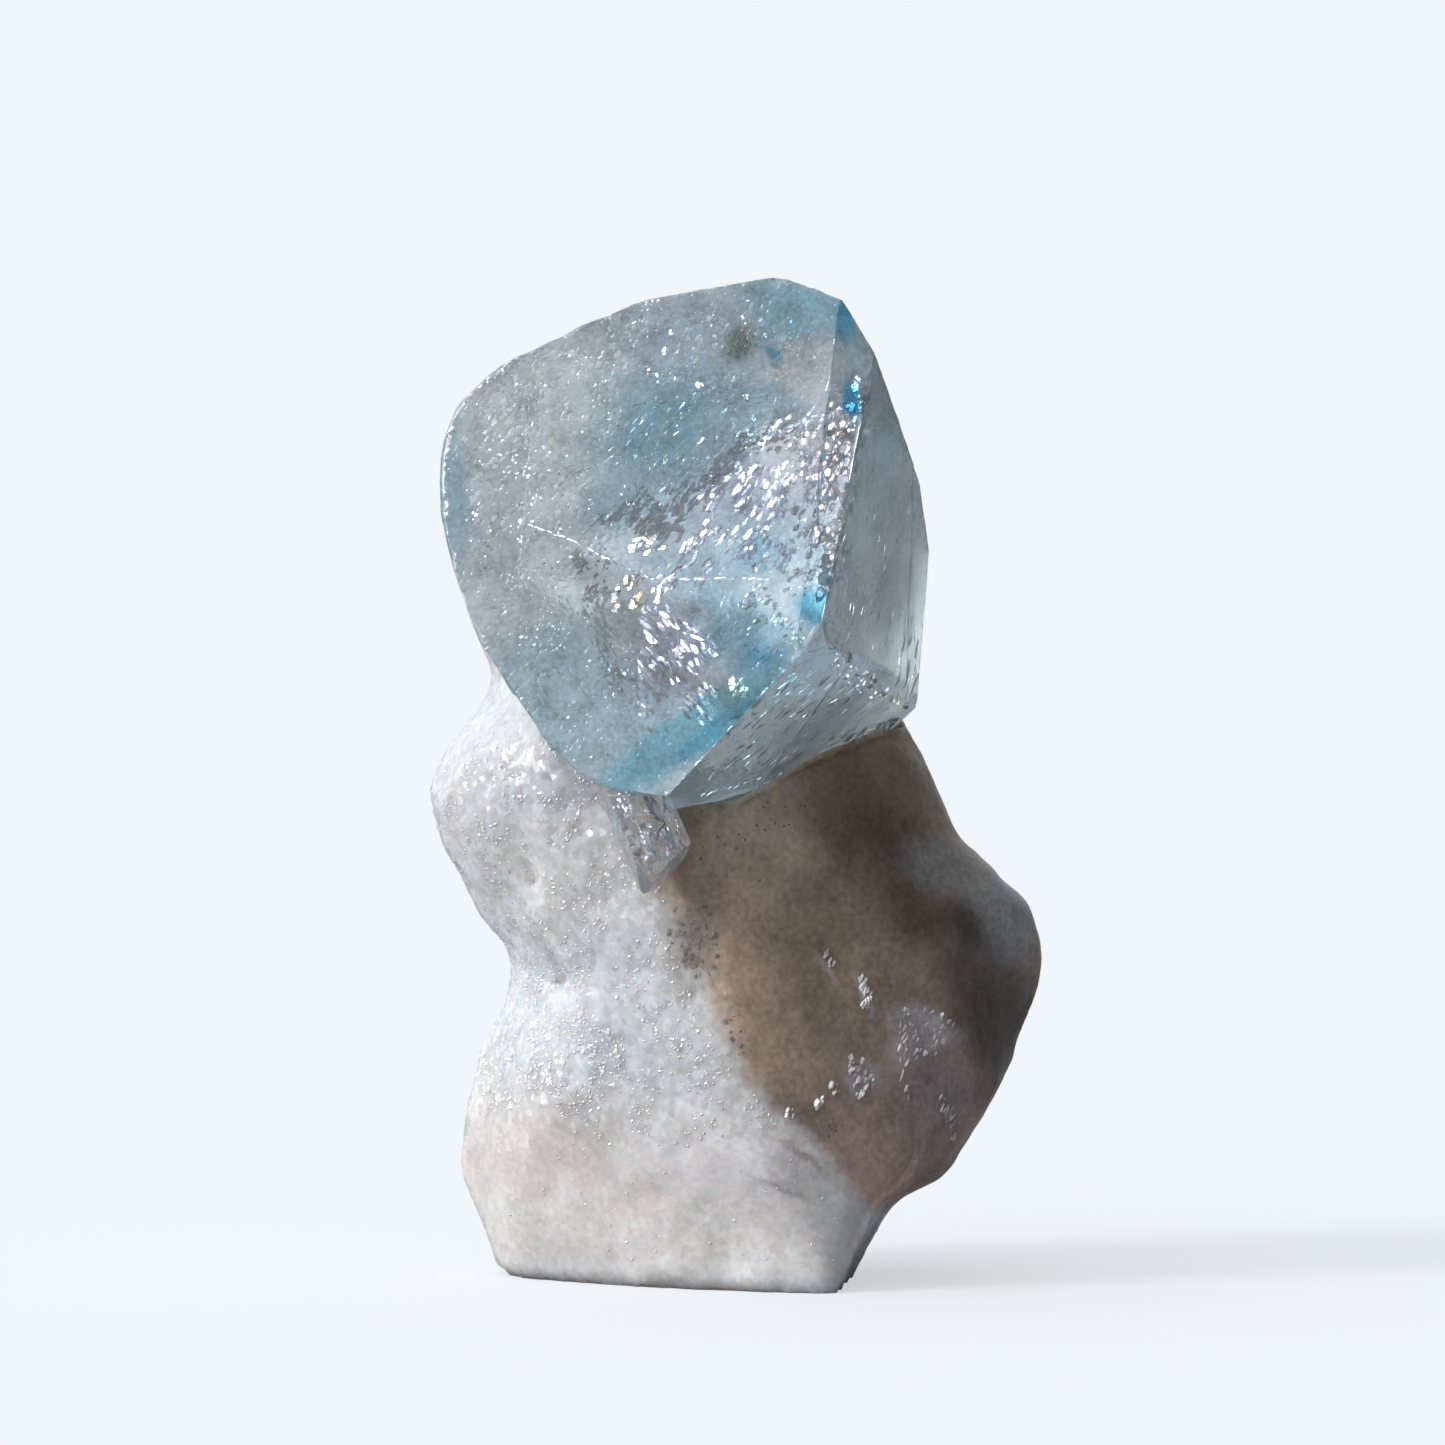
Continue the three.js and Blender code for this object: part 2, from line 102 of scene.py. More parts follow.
def node(tree, kind, *first, **values):
    """A node: names in small letters are its settings, and all the rest goes to its sockets."""
    made = tree.nodes.new(kind)
    for name in filter(str.islower, values):
        setattr(made, name, values[name])
    for socket, value in zip(made.inputs, first):
        feed(tree, socket, value)
    dress(tree, made, **{name: value for name, value in values.items() if not name.islower()})
    return made


def sums(tree, operation, *values):
    return node(tree, "ShaderNodeMath", *values, operation=operation).outputs[0]


def vectors(tree, operation, *values, **named):
    return node(tree, "ShaderNodeVectorMath", *values, operation=operation, **named).outputs[0]


def stretched(tree, value, low=0.0, high=1.0, start=0.0, end=1.0, curve="LINEAR"):
    """A value moved so that its range from low to high runs from start to end."""
    made = node(tree, "ShaderNodeMapRange", value, low, high, start, end, interpolation_type=curve)
    return made.outputs[0]


def mix(tree, factor, first, second, blend="MIX"):
    """Two colours, each a socket or a plain colour, mixed by a socket or a number."""
    made = node(tree, "ShaderNodeMix", data_type="RGBA", blend_type=blend)
    for socket, value in ((made.inputs[0], factor), (made.inputs[6], first), (made.inputs[7], second)):
        feed(tree, socket, value)
    return made.outputs[2]


def lay_floor():
    bm = bmesh.new()
    bmesh.ops.create_grid(bm, x_segments=4, y_segments=4, size=FLOOR_HALF_WIDTH)
    mesh = bpy.data.meshes.new("floor")
    bm.to_mesh(mesh)
    bm.free()
    material = bpy.data.materials.new("pale_floor")
    material.use_nodes = True
    tree = material.node_tree
    tree.nodes.clear()
    matt = node(tree, "ShaderNodeBsdfDiffuse", Color=FLOOR_COLOUR)
    glow = node(tree, "ShaderNodeEmission", Color=FLOOR_GLOW)
    both = node(tree, "ShaderNodeAddShader", matt.outputs[0], glow.outputs[0])
    seen = node(tree, "ShaderNodeLightPath").outputs["Is Camera Ray"]
    pick = node(tree, "ShaderNodeMixShader", seen, matt.outputs[0], both.outputs[0])
    node(tree, "ShaderNodeOutputMaterial", Surface=pick.outputs[0])
    mesh.materials.append(material)
    floor = bring_in("floor", mesh)


def facing(tree, where, towards):
    """How nearly a direction points this way, from -1 to 1."""
    made = node(tree, "ShaderNodeVectorMath", where, Vector(towards).normalized(), operation="DOT_PRODUCT")
    return made.outputs["Value"]


def light_room():
    """A pale room: a wide soft light at the upper left, a weaker one behind, and a dim right-hand side."""
    world = bpy.data.worlds.new("studio")
    bpy.context.scene.world = world
    world.use_nodes = True
    tree = world.node_tree
    tree.nodes.clear()
    where = node(tree, "ShaderNodeTexCoord").outputs["Generated"]
    ramp = node(tree, "ShaderNodeValToRGB", stretched(tree, facing(tree, where, WIDE_LIGHT_TOWARDS), low=-1))
    stops = ramp.color_ramp.elements
    stops[0].color, stops[1].color = (*DIM_SIDE, 1), (*LIT_SIDE, 1)
    for place, colour in BETWEEN_SIDES:
        stops.new(place).color = (*colour, 1)
    behind = stretched(tree, facing(tree, where, BACK_LIGHT_TOWARDS), 0.2, 0.95, curve="SMOOTHSTEP")
    room = mix(tree, 1, ramp.outputs[0], mix(tree, behind, (0, 0, 0), BACK_LIGHT), "ADD")
    pale = node(tree, "ShaderNodeBackground", Color=PALE)
    seen = node(tree, "ShaderNodeLightPath").outputs["Is Camera Ray"]
    lit = node(tree, "ShaderNodeBackground", Color=room)
    pick = node(tree, "ShaderNodeMixShader", seen, lit.outputs[0], pale.outputs[0])
    node(tree, "ShaderNodeOutputWorld", Surface=pick.outputs[0])
    key = bpy.data.lights.new("key", "SUN")
    key.energy = KEY_STRENGTH
    key.angle = math.radians(KEY_WIDTH)
    key.color = KEY_COLOUR
    bring_in("key", key).rotation_euler = KEY_TOWARDS.to_track_quat("Z", "Y").to_euler()


# ---------------------------------------------------------------- shapes, in millimetres

FRONT_LOOKS = Vector((-0.375, -0.893, 0.25)).normalized()
SIGHT = Vector((0, math.cos(VIEW_UP), -math.sin(VIEW_UP)))
SIGHT_UP = Vector((0, math.sin(VIEW_UP), math.cos(VIEW_UP)))
BASE_UP = 0.2  # the height at which the front view shows the middle of the base
EYE_AWAY = 30  # lines of sight start this far in front of the specimen
BENDING = 1.65  # how strongly both crystals bend light
ONE_PLANE = 0.985  # faces whose looks agree this nearly are taken for one
MARGIN = 0.07  # no crack comes nearer than this to a crystal's skin
CLUMP_SIZE = 0.55  # how far apart the clumps of cracks are
FILM = 0.01  # how thick a crack is
LINE_STEP = 0.13  # how far apart the cracks of a thin line are
MOST_IN = 0.16  # how far a lump on the rock's front is brought in
BASE_BAND = 0.06  # the rock below this height is its flat base
LOWEST_SKIN = 0.05  # how low the broken skin comes
CUBE = 0.11  # the size of the cubes that the rock's skin is cut from
RIDGE_X, RIDGE_Z = 0.2, 3.55  # where the ridge down the rock bends
RIDGE_RUNS = (0.5, 1.03)  # its slant above the bend and below it


def merged_copy(name):
    """The CAD node's own shape as one joined mesh, in millimetres."""
    bm = bmesh.new()
    bm.from_mesh(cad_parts[name].data)
    bmesh.ops.remove_doubles(bm, verts=bm.verts, dist=1e-7)
    bmesh.ops.scale(bm, vec=(1 / MM, 1 / MM, 1 / MM), verts=bm.verts)
    return bm


def finish_piece(bm, name, node_name, materials, smooth=0):
    """Brings a shape in, in metres; faces that meet at less than `smooth` degrees are shaded as one."""
    bmesh.ops.scale(bm, vec=(MM, MM, MM), verts=bm.verts)
    mesh = bpy.data.meshes.new(name)
    bm.to_mesh(mesh)
    bm.free()
    for material in materials:
        mesh.materials.append(material)
    piece = bring_in(name, mesh)
    if smooth:
        mesh.polygons.foreach_set("use_smooth", [True] * len(mesh.polygons))
        mesh.set_sharp_from_angle(angle=math.radians(smooth))
    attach(piece, "root")
    if node_name:
        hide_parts(node_name)


def ease(bm, verts, times):
    """Evens out the shape between these vertices."""
    for _ in range(times):
        bmesh.ops.smooth_vert(bm, verts=verts, factor=0.5, use_axis_x=True, use_axis_y=True, use_axis_z=True)
    bm.normal_update()


def refine(bm, longest):
    """Halves every edge longer than this until none is left."""
    for _ in range(9):
        long_edges = [e for e in bm.edges if e.calc_length() > longest]
        if not long_edges:
            break
        bmesh.ops.subdivide_edges(bm, edges=long_edges, cuts=1)
        bmesh.ops.triangulate(bm, faces=[f for f in bm.faces if len(f.verts) > 3])


def crisp_start(name, edge, longest):
    """A crystal's flat faces with narrow bevelled edges, cut up finely enough to carry relief."""
    bm = merged_copy(name)
    bmesh.ops.dissolve_limit(bm, angle_limit=math.radians(0.6), verts=bm.verts, edges=bm.edges)
    bmesh.ops.bevel(
        bm, geom=bm.edges, offset=edge, segments=1, profile=0.5, affect="EDGES", material=-1,
        clamp_overlap=True
    )
    bmesh.ops.triangulate(bm, faces=bm.faces)
    refine(bm, longest)
    bm.normal_update()
    return bm


def one_face(vertex):
    """The way a vertex's faces look when they are all in one plane, or nothing on an edge."""
    looks = vertex.link_faces[0].normal
    if all(looks.dot(f.normal) > ONE_PLANE for f in vertex.link_faces):
        return looks.copy()
    return None


def is_front(looks):
    return looks.dot(FRONT_LOOKS) > 0.97


def is_right_hand(looks):
    return looks.x > 0.2 and looks.y < 0.1


def wear_far_edges(bm):
    """Rounds the edges of the etched far side and of the rim, and keeps those round the right-hand faces."""
    kept = set()
    for edge in bm.edges:
        looks = [f.normal for f in edge.link_faces]
        if edge.calc_face_angle(0) > 0.08 and any(is_right_hand(n) for n in looks):
            kept.update(edge.verts)
    ease(bm, [v for v in bm.verts if v not in kept], times=8)


def ripple(point, size):
    return noise.noise(point / size)


def crystal_relief(here, looks):
    """How far the skin stands out: nearly flat in front, grooved upright on the right, etched behind."""
    if is_front(looks):
        return 0.006 * ripple(here, 0.5) + 0.012 * ripple(here, 1.8)
    if is_right_hand(looks) and looks.z > -0.3:
        along = Vector((here.x, here.y, here.z * 0.12))
        return 0.008 * ripple(along, 0.2) + 0.01 * ripple(here, 1.2)
    if is_right_hand(looks):
        along = Vector((here.x * 0.3 - here.z * 0.2, here.y * 0.6, here.z))
        return 0.016 * ripple(along, 0.25) + 0.012 * ripple(here, 1.2)
    return 0.045 * ripple(here, 0.8) + 0.03 * ripple(here, 0.42)


def shape_crystal():
    bm = crisp_start("euclase_crystal", edge=0.03, longest=0.15)
    wear_far_edges(bm)
    steps = [(v, looks * crystal_relief(v.co, looks)) for v in bm.verts if (looks := one_face(v))]
    for v, step in steps:
        v.co += step
    etched = bm.faces.layers.float.new("etched")
    # calm marks the right-hand faces: painted shade goes on them, and they are rougher
    calm = bm.faces.layers.float.new("calm")
    for face in bm.faces:
        right_hand = is_right_hand(face.normal)
        face[calm] = 1.0 if right_hand else 0.0
        face[etched] = 0.0 if right_hand or (face.normal.y < -0.6 and face.normal.x > -0.45) else 1.0
    skin = BVHTree.FromBMesh(bm)
    finish_piece(bm, "euclase", "euclase_crystal", [euclase_glass()], smooth=26)
    return skin


def shape_small_crystal():
    bm = crisp_start("small_crystal", edge=0.02, longest=0.1)
    for v in bm.verts:
        v.co += v.normal * 0.008 * ripple(v.co, 0.3)
    skin = BVHTree.FromBMesh(bm)
    finish_piece(bm, "clear_crystal", "small_crystal", [clear_glass()], smooth=26)
    return skin


def bent(direction, looks):
    """A line of sight after it goes in through a face."""
    cosine = -direction.dot(looks)
    ratio = 1 / BENDING
    turned = ratio * cosine - math.sqrt(1 - ratio * ratio * (1 - cosine * cosine))
    return (direction * ratio + looks * turned).normalized()


def seen_at(skin, x, up):
    """The place of a skin that shows at x and this height in the front view, and the way it looks."""
    eye = Vector((x, 0, 0)) + SIGHT_UP * (up - BASE_UP) - SIGHT * EYE_AWAY
    return skin.ray_cast(eye, SIGHT)[:2]


def inside(skin, x, up, depth):
    """Where a crack seen at x and this height in the front view lies, this deep in the crystal, and the way
    it looks when it throws the key light straight at the eye. Nothing where that is too near the skin."""
    hit, looks = seen_at(skin, x, up)
    if hit is None:
        return None, None
    inwards = bent(SIGHT, looks)
    place = hit + inwards * depth
    below, outwards, _, far = skin.find_nearest(place)
    if far < MARGIN or (place - below).dot(outwards) > 0:
        return None, None
    lit = looks if looks.dot(KEY_TOWARDS) > 0.3 else FRONT_LOOKS
    return place, (-bent(-KEY_TOWARDS, lit) - inwards).normalized()


def within(outline, x, z):
    """Whether a point lies inside a drawn outline."""
    odd = False
    for (x1, z1), (x2, z2) in zip(outline, outline[1:] + outline[:1]):
        if (z1 > z) != (z2 > z) and x < (x2 - x1) * (z - z1) / (z2 - z1) + x1:
            odd = not odd
    return odd


def plates(finishes):
    """One thin bevelled plate for each finish, ready to be laid many times."""
    made = []
    for finish in range(finishes):
        bm = bmesh.new()
        bmesh.ops.create_cone(bm, segments=5, radius1=0.5, radius2=0.36, depth=1, cap_ends=True)
        for face in bm.faces:
            face.material_index = finish
        made.append(bpy.data.meshes.new("plate"))
        bm.to_mesh(made[-1])
        bm.free()
    return made


def scattered(outline, count, rng, clump=-1):
    """Places spread at random inside a drawn outline, in clumps, each with its share of the way across."""
    left, right = min(x for x, z in outline), max(x for x, z in outline)
    low, high = min(z for x, z in outline), max(z for x, z in outline)
    made = 0
    while made < count:
        x, z = rng.uniform(left, right), rng.uniform(low, high)
        if within(outline, x, z) and noise.noise(Vector((x, z, 0)) / CLUMP_SIZE) >= clump:
            made += 1
            yield x, z, (x - left) / (right - left)


def shaken(rng, spread):
    return Vector([rng.gauss(0, spread) for _ in range(3)])


def lean(rng, degrees):
    """A random lean of about this many degrees."""
    return shaken(rng, 1) * math.tan(math.radians(degrees)) * 0.6


def lay_plate(bm, plate, place, looks, along, length, width, thick):
    """Adds a plate that faces the way `looks` says, with its length as near to `along` as it can be."""
    side = looks.cross(along).normalized()
    along = side.cross(looks).normalized()
    turn = Matrix((along * length, side * width, looks * thick)).transposed().to_4x4()
    copy = plate.copy()
    copy.transform(Matrix.Translation(place) @ turn)
    bm.from_mesh(copy)
    bpy.data.meshes.remove(copy)


SILVER, BLUE, DARK = range(3)  # the first of CRACK_FINISHES
VEILS = [
    # outline in the front view, depth at left and right, how many, slant, length, width as a share of length,
    # spread of the way they look, clumping (-1 for none), share of each of CRACK_FINISHES
    # the upper healed crack: its bright middle, its shaded upper edge, and the rest of it
    ([(-1.5, 12.75), (-0.85, 12.6), (0.1, 13.3), (0.9, 14.2), (1.5, 14.9), (1.6, 15.8), (1.0, 15.85),
      (0.0, 15.35), (-0.6, 14.5), (-1.1, 13.6)],
     (0.5, 1.2), 230, 52, (0.14, 0.42), (0.22, 0.4), 5, -0.12, (90, 4, 2, 4)),
    ([(-2.0, 13.75), (-1.3, 13.6), (-0.6, 14.3), (-0.1, 14.9), (0.3, 15.6), (-0.3, 15.1), (-1.0, 14.62),
      (-1.8, 14.4), (-2.5, 13.95)],
     (0.4, 0.8), 230, 50, (0.1, 0.36), (0.2, 0.35), 14, -0.3, (12, 6, 82, 0)),
    ([(-0.1, 12.9), (1.4, 12.9), (1.7, 14.5), (1.3, 15.3), (0.7, 14.1), (0.2, 13.4)],
     (0.5, 1.2), 150, 60, (0.06, 0.24), (0.3, 0.6), 11, -0.1, (66, 18, 12, 4)),
    ([(0.0, 15.5), (0.66, 15.65), (1.3, 16.0), (1.6, 15.6), (0.9, 15.2), (0.1, 15.1)],
     (0.3, 0.6), 90, 20, (0.05, 0.2), (0.3, 0.6), 10, -1, (52, 4, 42, 2)),
    ([(-1.9, 13.4), (-1.85, 13.62), (-1.5, 13.68), (-1.2, 13.58), (-1.35, 13.4), (-1.6, 13.32)],
     (0.25, 0.4), 16, 10, (0.2, 0.34), (0.4, 0.6), 3, -1, (100, 0, 0, 0)),
    ([(-1.7, 13.7), (-1.2, 13.66), (-1.0, 13.8), (-1.3, 13.92), (-1.6, 13.86)],
     (0.25, 0.4), 16, 15, (0.16, 0.3), (0.4, 0.6), 10, -1, (0, 0, 100, 0)),
    # the lower healed crack: dark left edge, large bright plates, a smooth bright streak, and its foot
    ([(-2.95, 13.5), (-2.1, 13.25), (-1.6, 12.95), (-2.0, 12.75), (-2.5, 12.3), (-2.85, 12.7)],
     (0.4, 0.9), 150, 55, (0.05, 0.18), (0.25, 0.5), 14, -0.05, (18, 4, 76, 2)),
    ([(-2.8, 12.6), (-2.3, 12.4), (-2.1, 11.6), (-1.5, 10.7), (-1.2, 10.1), (-1.8, 10.2), (-2.3, 11.0),
      (-2.7, 12.0)],
     (0.4, 0.9), 150, -50, (0.06, 0.2), (0.25, 0.5), 14, -0.05, (16, 6, 76, 2)),
    ([(-2.0, 12.98), (-1.7, 12.98), (-1.65, 12.45), (-1.95, 12.3)],
     (0.25, 0.4), 12, 80, (0.2, 0.34), (0.4, 0.6), 4, -1, (35, 0, 0, 65)),
    ([(-2.3, 12.75), (-2.1, 12.75), (-2.1, 12.3), (-2.3, 12.35)],
     (0.25, 0.4), 7, 20, (0.12, 0.22), (0.5, 0.7), 4, -1, (70, 0, 0, 30)),
    ([(-1.55, 12.7), (-1.35, 12.7), (-1.3, 12.5), (-1.5, 12.45)],
     (0.25, 0.4), 6, 60, (0.12, 0.22), (0.4, 0.6), 4, -1, (35, 0, 0, 65)),
    ([(-1.9, 12.4), (-1.25, 12.4), (-0.3, 11.7), (0.0, 11.4), (-0.4, 11.0), (-1.0, 11.3), (-1.7, 11.9)],
     (0.4, 0.8), 110, -42, (0.2, 0.5), (0.2, 0.35), 6, -0.15, (96, 2, 2, 0)),
    ([(-1.6, 11.9), (-1.0, 11.5), (-0.2, 10.9), (0.1, 10.7), (-0.6, 10.3), (-1.3, 10.6), (-1.9, 11.3)],
     (0.4, 0.8), 170, -44, (0.1, 0.34), (0.2, 0.4), 9, -0.1, (60, 10, 28, 2)),
    ([(-0.12, 11.2), (0.15, 11.2), (0.2, 10.85), (-0.05, 10.8)],
     (0.2, 0.35), 9, 70, (0.16, 0.3), (0.5, 0.7), 4, -1, (30, 0, 0, 70)),
    # the rest of the large crystal
    ([(-5.0, 16.0), (-3.6, 17.0), (-1.5, 17.8), (1.2, 18.0), (1.7, 16.6), (0.8, 15.7), (-1.0, 14.7),
      (-3.0, 13.6), (-4.9, 13.4)],
     (0.12, 1.2), 520, 45, (0.03, 0.1), (0.3, 0.7), 10, -0.05, (66, 10, 21, 3)),
    ([(-4.4, 15.5), (-3.4, 15.5), (-3.3, 14.8), (-4.2, 14.8)],
     (0.12, 0.3), 40, 10, (0.025, 0.09), (0.3, 0.8), 6, -1, (80, 0, 0, 0, 20)),
    ([(-5.0, 16.0), (-3.6, 16.9), (-1.8, 17.4), (-2.0, 15.2), (-3.0, 13.9), (-4.9, 13.6)],
     (0.1, 0.5), 300, 40, (0.05, 0.2), (0.4, 0.8), 30, -0.15, (0, 0, 0, 0, 100)),
    ([(-2.0, 17.6), (0.6, 18.1), (1.2, 17.0), (-0.6, 16.2), (-1.9, 16.4)],
     (0.1, 0.4), 110, 55, (0.04, 0.18), (0.3, 0.6), 20, -0.1, (10, 20, 0, 0, 70)),
    ([(-1.4, 16.6), (0.8, 16.5), (0.3, 15.6), (-0.9, 14.9), (-2.0, 15.0), (-1.9, 15.9)],
     (0.3, 0.9), 150, 50, (0.06, 0.24), (0.15, 0.3), 9, -0.1, (52, 44, 4, 0)),
    ([(-4.9, 13.6), (-3.0, 13.7), (-2.2, 11.0), (-1.6, 9.8), (-2.6, 9.5), (-4.3, 11.9)],
     (0.12, 1.0), 170, 20, (0.03, 0.1), (0.4, 0.8), 9, -0.05, (56, 4, 40, 0)),
    ([(0.1, 12.9), (1.5, 12.75), (1.0, 11.6), (0.45, 11.3), (-0.2, 12.05)],
     (0.3, 0.8), 120, 30, (0.05, 0.16), (0.3, 0.6), 9, -0.05, (48, 36, 16, 0)),
    ([(1.8, 16.9), (2.3, 16.3), (2.1, 15.2), (2.02, 14.5), (1.8, 13.2), (1.55, 12.5), (1.2, 12.9),
      (1.5, 14.2), (1.62, 15.4)],
     (0.1, 0.3), 300, 75, (0.08, 0.3), (0.4, 0.8), 4.5, -0.2, (84, 10, 2, 4)),
    ([(1.75, 11.7), (1.95, 11.65), (2.6, 11.05), (3.15, 10.75), (3.15, 10.5), (2.5, 10.7), (1.7, 11.2)],
     (0.1, 0.25), 90, -45, (0.08, 0.26), (0.25, 0.5), 6, -1, (70, 0, 18, 12)),
    ([(1.9, 14.5), (3.2, 14.2), (3.3, 11.4), (1.9, 11.6)],
     (0.1, 0.4), 46, 84, (0.1, 0.34), (0.08, 0.2), 6, -1, (76, 0, 24, 0)),
    ([(3.05, 12.7), (3.3, 12.7), (3.28, 11.0), (3.1, 10.7), (2.85, 10.9)],
     (0.08, 0.2), 46, 86, (0.16, 0.5), (0.08, 0.2), 5, -1, (44, 26, 10, 0, 20)),
    ([(1.6, 9.95), (2.3, 10.0), (3.1, 10.32), (3.1, 10.48), (2.3, 10.2), (1.7, 10.12)],
     (0.06, 0.15), 60, 14, (0.1, 0.34), (0.2, 0.45), 6, -1, (50, 0, 6, 4, 40)),
    ([(-0.6, 9.2), (0.9, 9.3), (2.3, 9.9), (3.1, 10.4), (1.9, 11.3), (1.0, 11.2), (0.2, 10.3)],
     (0.1, 0.4), 210, 24, (0.08, 0.32), (0.14, 0.3), 9, -0.1, (66, 0, 22, 0, 12)),
]
HEALED_LINES = [
    # finish, and places in the front view
    (SILVER, [(-3.8, 13.9), (-2.95, 13.6), (-2.0, 13.1), (-1.55, 12.9), (0.6, 12.9)]),
    (BLUE, [(1.66, 16.2), (1.6, 15.4), (1.45, 13.9), (1.25, 13.1)]),
    (DARK, [(-3.29, 14.45), (-3.16, 14.64), (-3.02, 14.78), (-2.65, 14.9)]),
    (DARK, [(-2.85, 13.6), (-2.5, 13.98), (-2.1, 14.3)]),
    (DARK, [(-1.9, 16.05), (-1.3, 16.1)]),
    (SILVER, [(1.7, 9.9), (2.1, 10.03), (2.75, 10.28)]),
    (SILVER, [(-0.65, 9.0), (0.1, 9.2), (0.9, 9.4)]),
]
SPECKS = [
    # x and height of the middle, reach, how many, longest
    (0.07, 17.15, 0.3, 40, 0.09),
    (-0.2, 18.27, 0.06, 4, 0.07),
    (-5.1, 15.55, 0.07, 5, 0.06),
    (-3.56, 11.2, 0.05, 4, 0.06),
    (0.66, 15.62, 0.14, 6, 0.14),
    (0.07, 15.45, 0.16, 8, 0.1),
    (-1.5, 17.45, 0.3, 8, 0.1),
    (2.43, 12.29, 0.02, 1, 0.09),
    (2.95, 13.57, 0.06, 3, 0.08),
    (2.78, 13.3, 0.05, 2, 0.07),
    (-1.42, 14.1, 0.17, 16, 0.2),
    (-1.75, 14.4, 0.28, 9, 0.13),
    (-2.45, 13.1, 0.35, 16, 0.13),
]
SMALL_SPECKS = [
    # as above
    (-2.1, 8.62, 0.03, 3, 0.1),
    (-2.05, 8.4, 0.03, 4, 0.14),
    (-1.97, 8.2, 0.03, 3, 0.12),
    (-1.86, 8.12, 0.02, 2, 0.1),
    (-1.75, 8.0, 0.025, 4, 0.14),
    (-1.62, 8.13, 0.02, 3, 0.11),
    (-1.69, 8.45, 0.03, 3, 0.12),
    (-1.21, 8.22, 0.02, 2, 0.09),
]
SPARKS = [
    # as above
    (-3.6, 14.33, 0.13, 5, 0.1),
    (-3.9, 13.64, 0.06, 3, 0.12),
    (-3.2, 13.78, 0.05, 2, 0.1),
    (-2.09, 14.43, 0.03, 2, 0.14),
    (-2.76, 15.56, 0.02, 1, 0.1),
    (-3.8, 14.93, 0.03, 2, 0.11),
    (-1.43, 16.53, 0.08, 3, 0.16),
    (-1.58, 16.7, 0.02, 1, 0.1),
    (-1.27, 17.0, 0.06, 3, 0.18),
    (-1.2, 17.35, 0.03, 1, 0.12),
    (-1.84, 17.56, 0.04, 2, 0.1),
    (-0.65, 16.4, 0.05, 2, 0.22),
    (0.11, 17.6, 0.03, 2, 0.12),
    (0.15, 16.2, 0.06, 3, 0.13),
    (-4.7, 16.1, 0.03, 1, 0.08),
    (2.1, 15.5, 0.08, 4, 0.2),
    (1.95, 13.3, 0.12, 7, 0.28),
    (1.85, 12.95, 0.1, 5, 0.26),
]
SMALL_VEILS = [
    # as in VEILS
    ([(-2.1, 9.05), (-1.6, 9.0), (-1.3, 8.5), (-1.1, 8.1), (-1.5, 7.4), (-1.9, 8.3)],
     (0.35, 0.65), 120, -60, (0.06, 0.2), (0.3, 0.6), 14, -1, (24, 0, 0, 0, 76)),
    ([(-1.78, 8.5), (-1.4, 8.5), (-1.42, 8.1), (-1.65, 8.05)],
     (0.1, 0.25), 34, -60, (0.05, 0.17), (0.3, 0.6), 9, -1, (80, 0, 0, 0, 20)),
    ([(-1.32, 8.4), (-1.0, 8.4), (-0.95, 8.1), (-1.25, 7.9)],
     (0.08, 0.2), 60, -40, (0.05, 0.16), (0.3, 0.7), 13, -1, (84, 0, 6, 0, 10)),
    ([(-2.1, 9.05), (-1.8, 9.05), (-1.9, 8.7), (-2.15, 8.8)],
     (0.08, 0.2), 20, -70, (0.05, 0.18), (0.3, 0.5), 7, -1, (84, 0, 0, 0, 16)),
    ([(-1.62, 9.0), (-1.3, 9.0), (-1.0, 8.45), (-1.2, 8.45)],
     (0.08, 0.2), 50, -60, (0.06, 0.2), (0.2, 0.4), 11, -1, (60, 0, 4, 0, 36)),
]
SMALL_LINES = [
    (DARK, [(-1.66, 9.0), (-1.5, 8.72), (-1.35, 8.58), (-1.28, 8.5), (-1.4, 8.35), (-1.42, 8.2)]),
    (SILVER, [(-1.24, 8.95), (-1.04, 8.6), (-0.92, 8.4)]),
    (SILVER, [(-1.32, 8.98), (-1.12, 8.64), (-0.98, 8.42)]),
    (SILVER, [(-0.98, 8.2), (-1.1, 8.0), (-1.35, 7.82)]),
]


def lay_veil(bm, skin, kinds, veil, rng):
    """Many small cracks that follow one healed break."""
    outline, (start, end), count, slant, lengths, wide, spread, clump, shares = veil
    for x, z, across in scattered(outline, count, rng, clump):
        depth = start + (end - start) * across + rng.uniform(-0.2, 0.2)
        place, glint = inside(skin, x, z, max(depth, 0.1))
        if place is None:
            continue
        tilt = lean(rng, spread)
        turn = math.radians(slant + rng.gauss(0, 10))
        along = Vector((math.cos(turn), 0, math.sin(turn)))
        length = rng.uniform(*lengths)
        kind = kinds[rng.choices(range(len(shares)), shares)[0]]
        width = length * rng.uniform(*wide)
        lay_plate(bm, kind, place, (glint + tilt).normalized(), along, length, width, FILM)


def lay_line(bm, skin, kinds, line, rng):
    """A thin line of small cracks: bright where two healed breaks meet, or dark."""
    finish, places = line
    for (x1, z1), (x2, z2) in zip(places, places[1:]):
        pieces = max(2, round(math.hypot(x2 - x1, z2 - z1) / LINE_STEP))
        for step in range(pieces):
            t = (step + rng.uniform(0.2, 0.8)) / pieces
            x, z = x1 + (x2 - x1) * t, z1 + (z2 - z1) * t + rng.uniform(-0.02, 0.02)
            place, glint = inside(skin, x, z, 0.2)
            if place:
                along = Vector((x2 - x1, 0, z2 - z1)).normalized()
                looks = (glint + shaken(rng, 0.05)).normalized()
                length, width = rng.uniform(0.14, 0.26), rng.uniform(0.025, 0.05)
                lay_plate(bm, kinds[finish], place, looks, along, length, width, FILM)


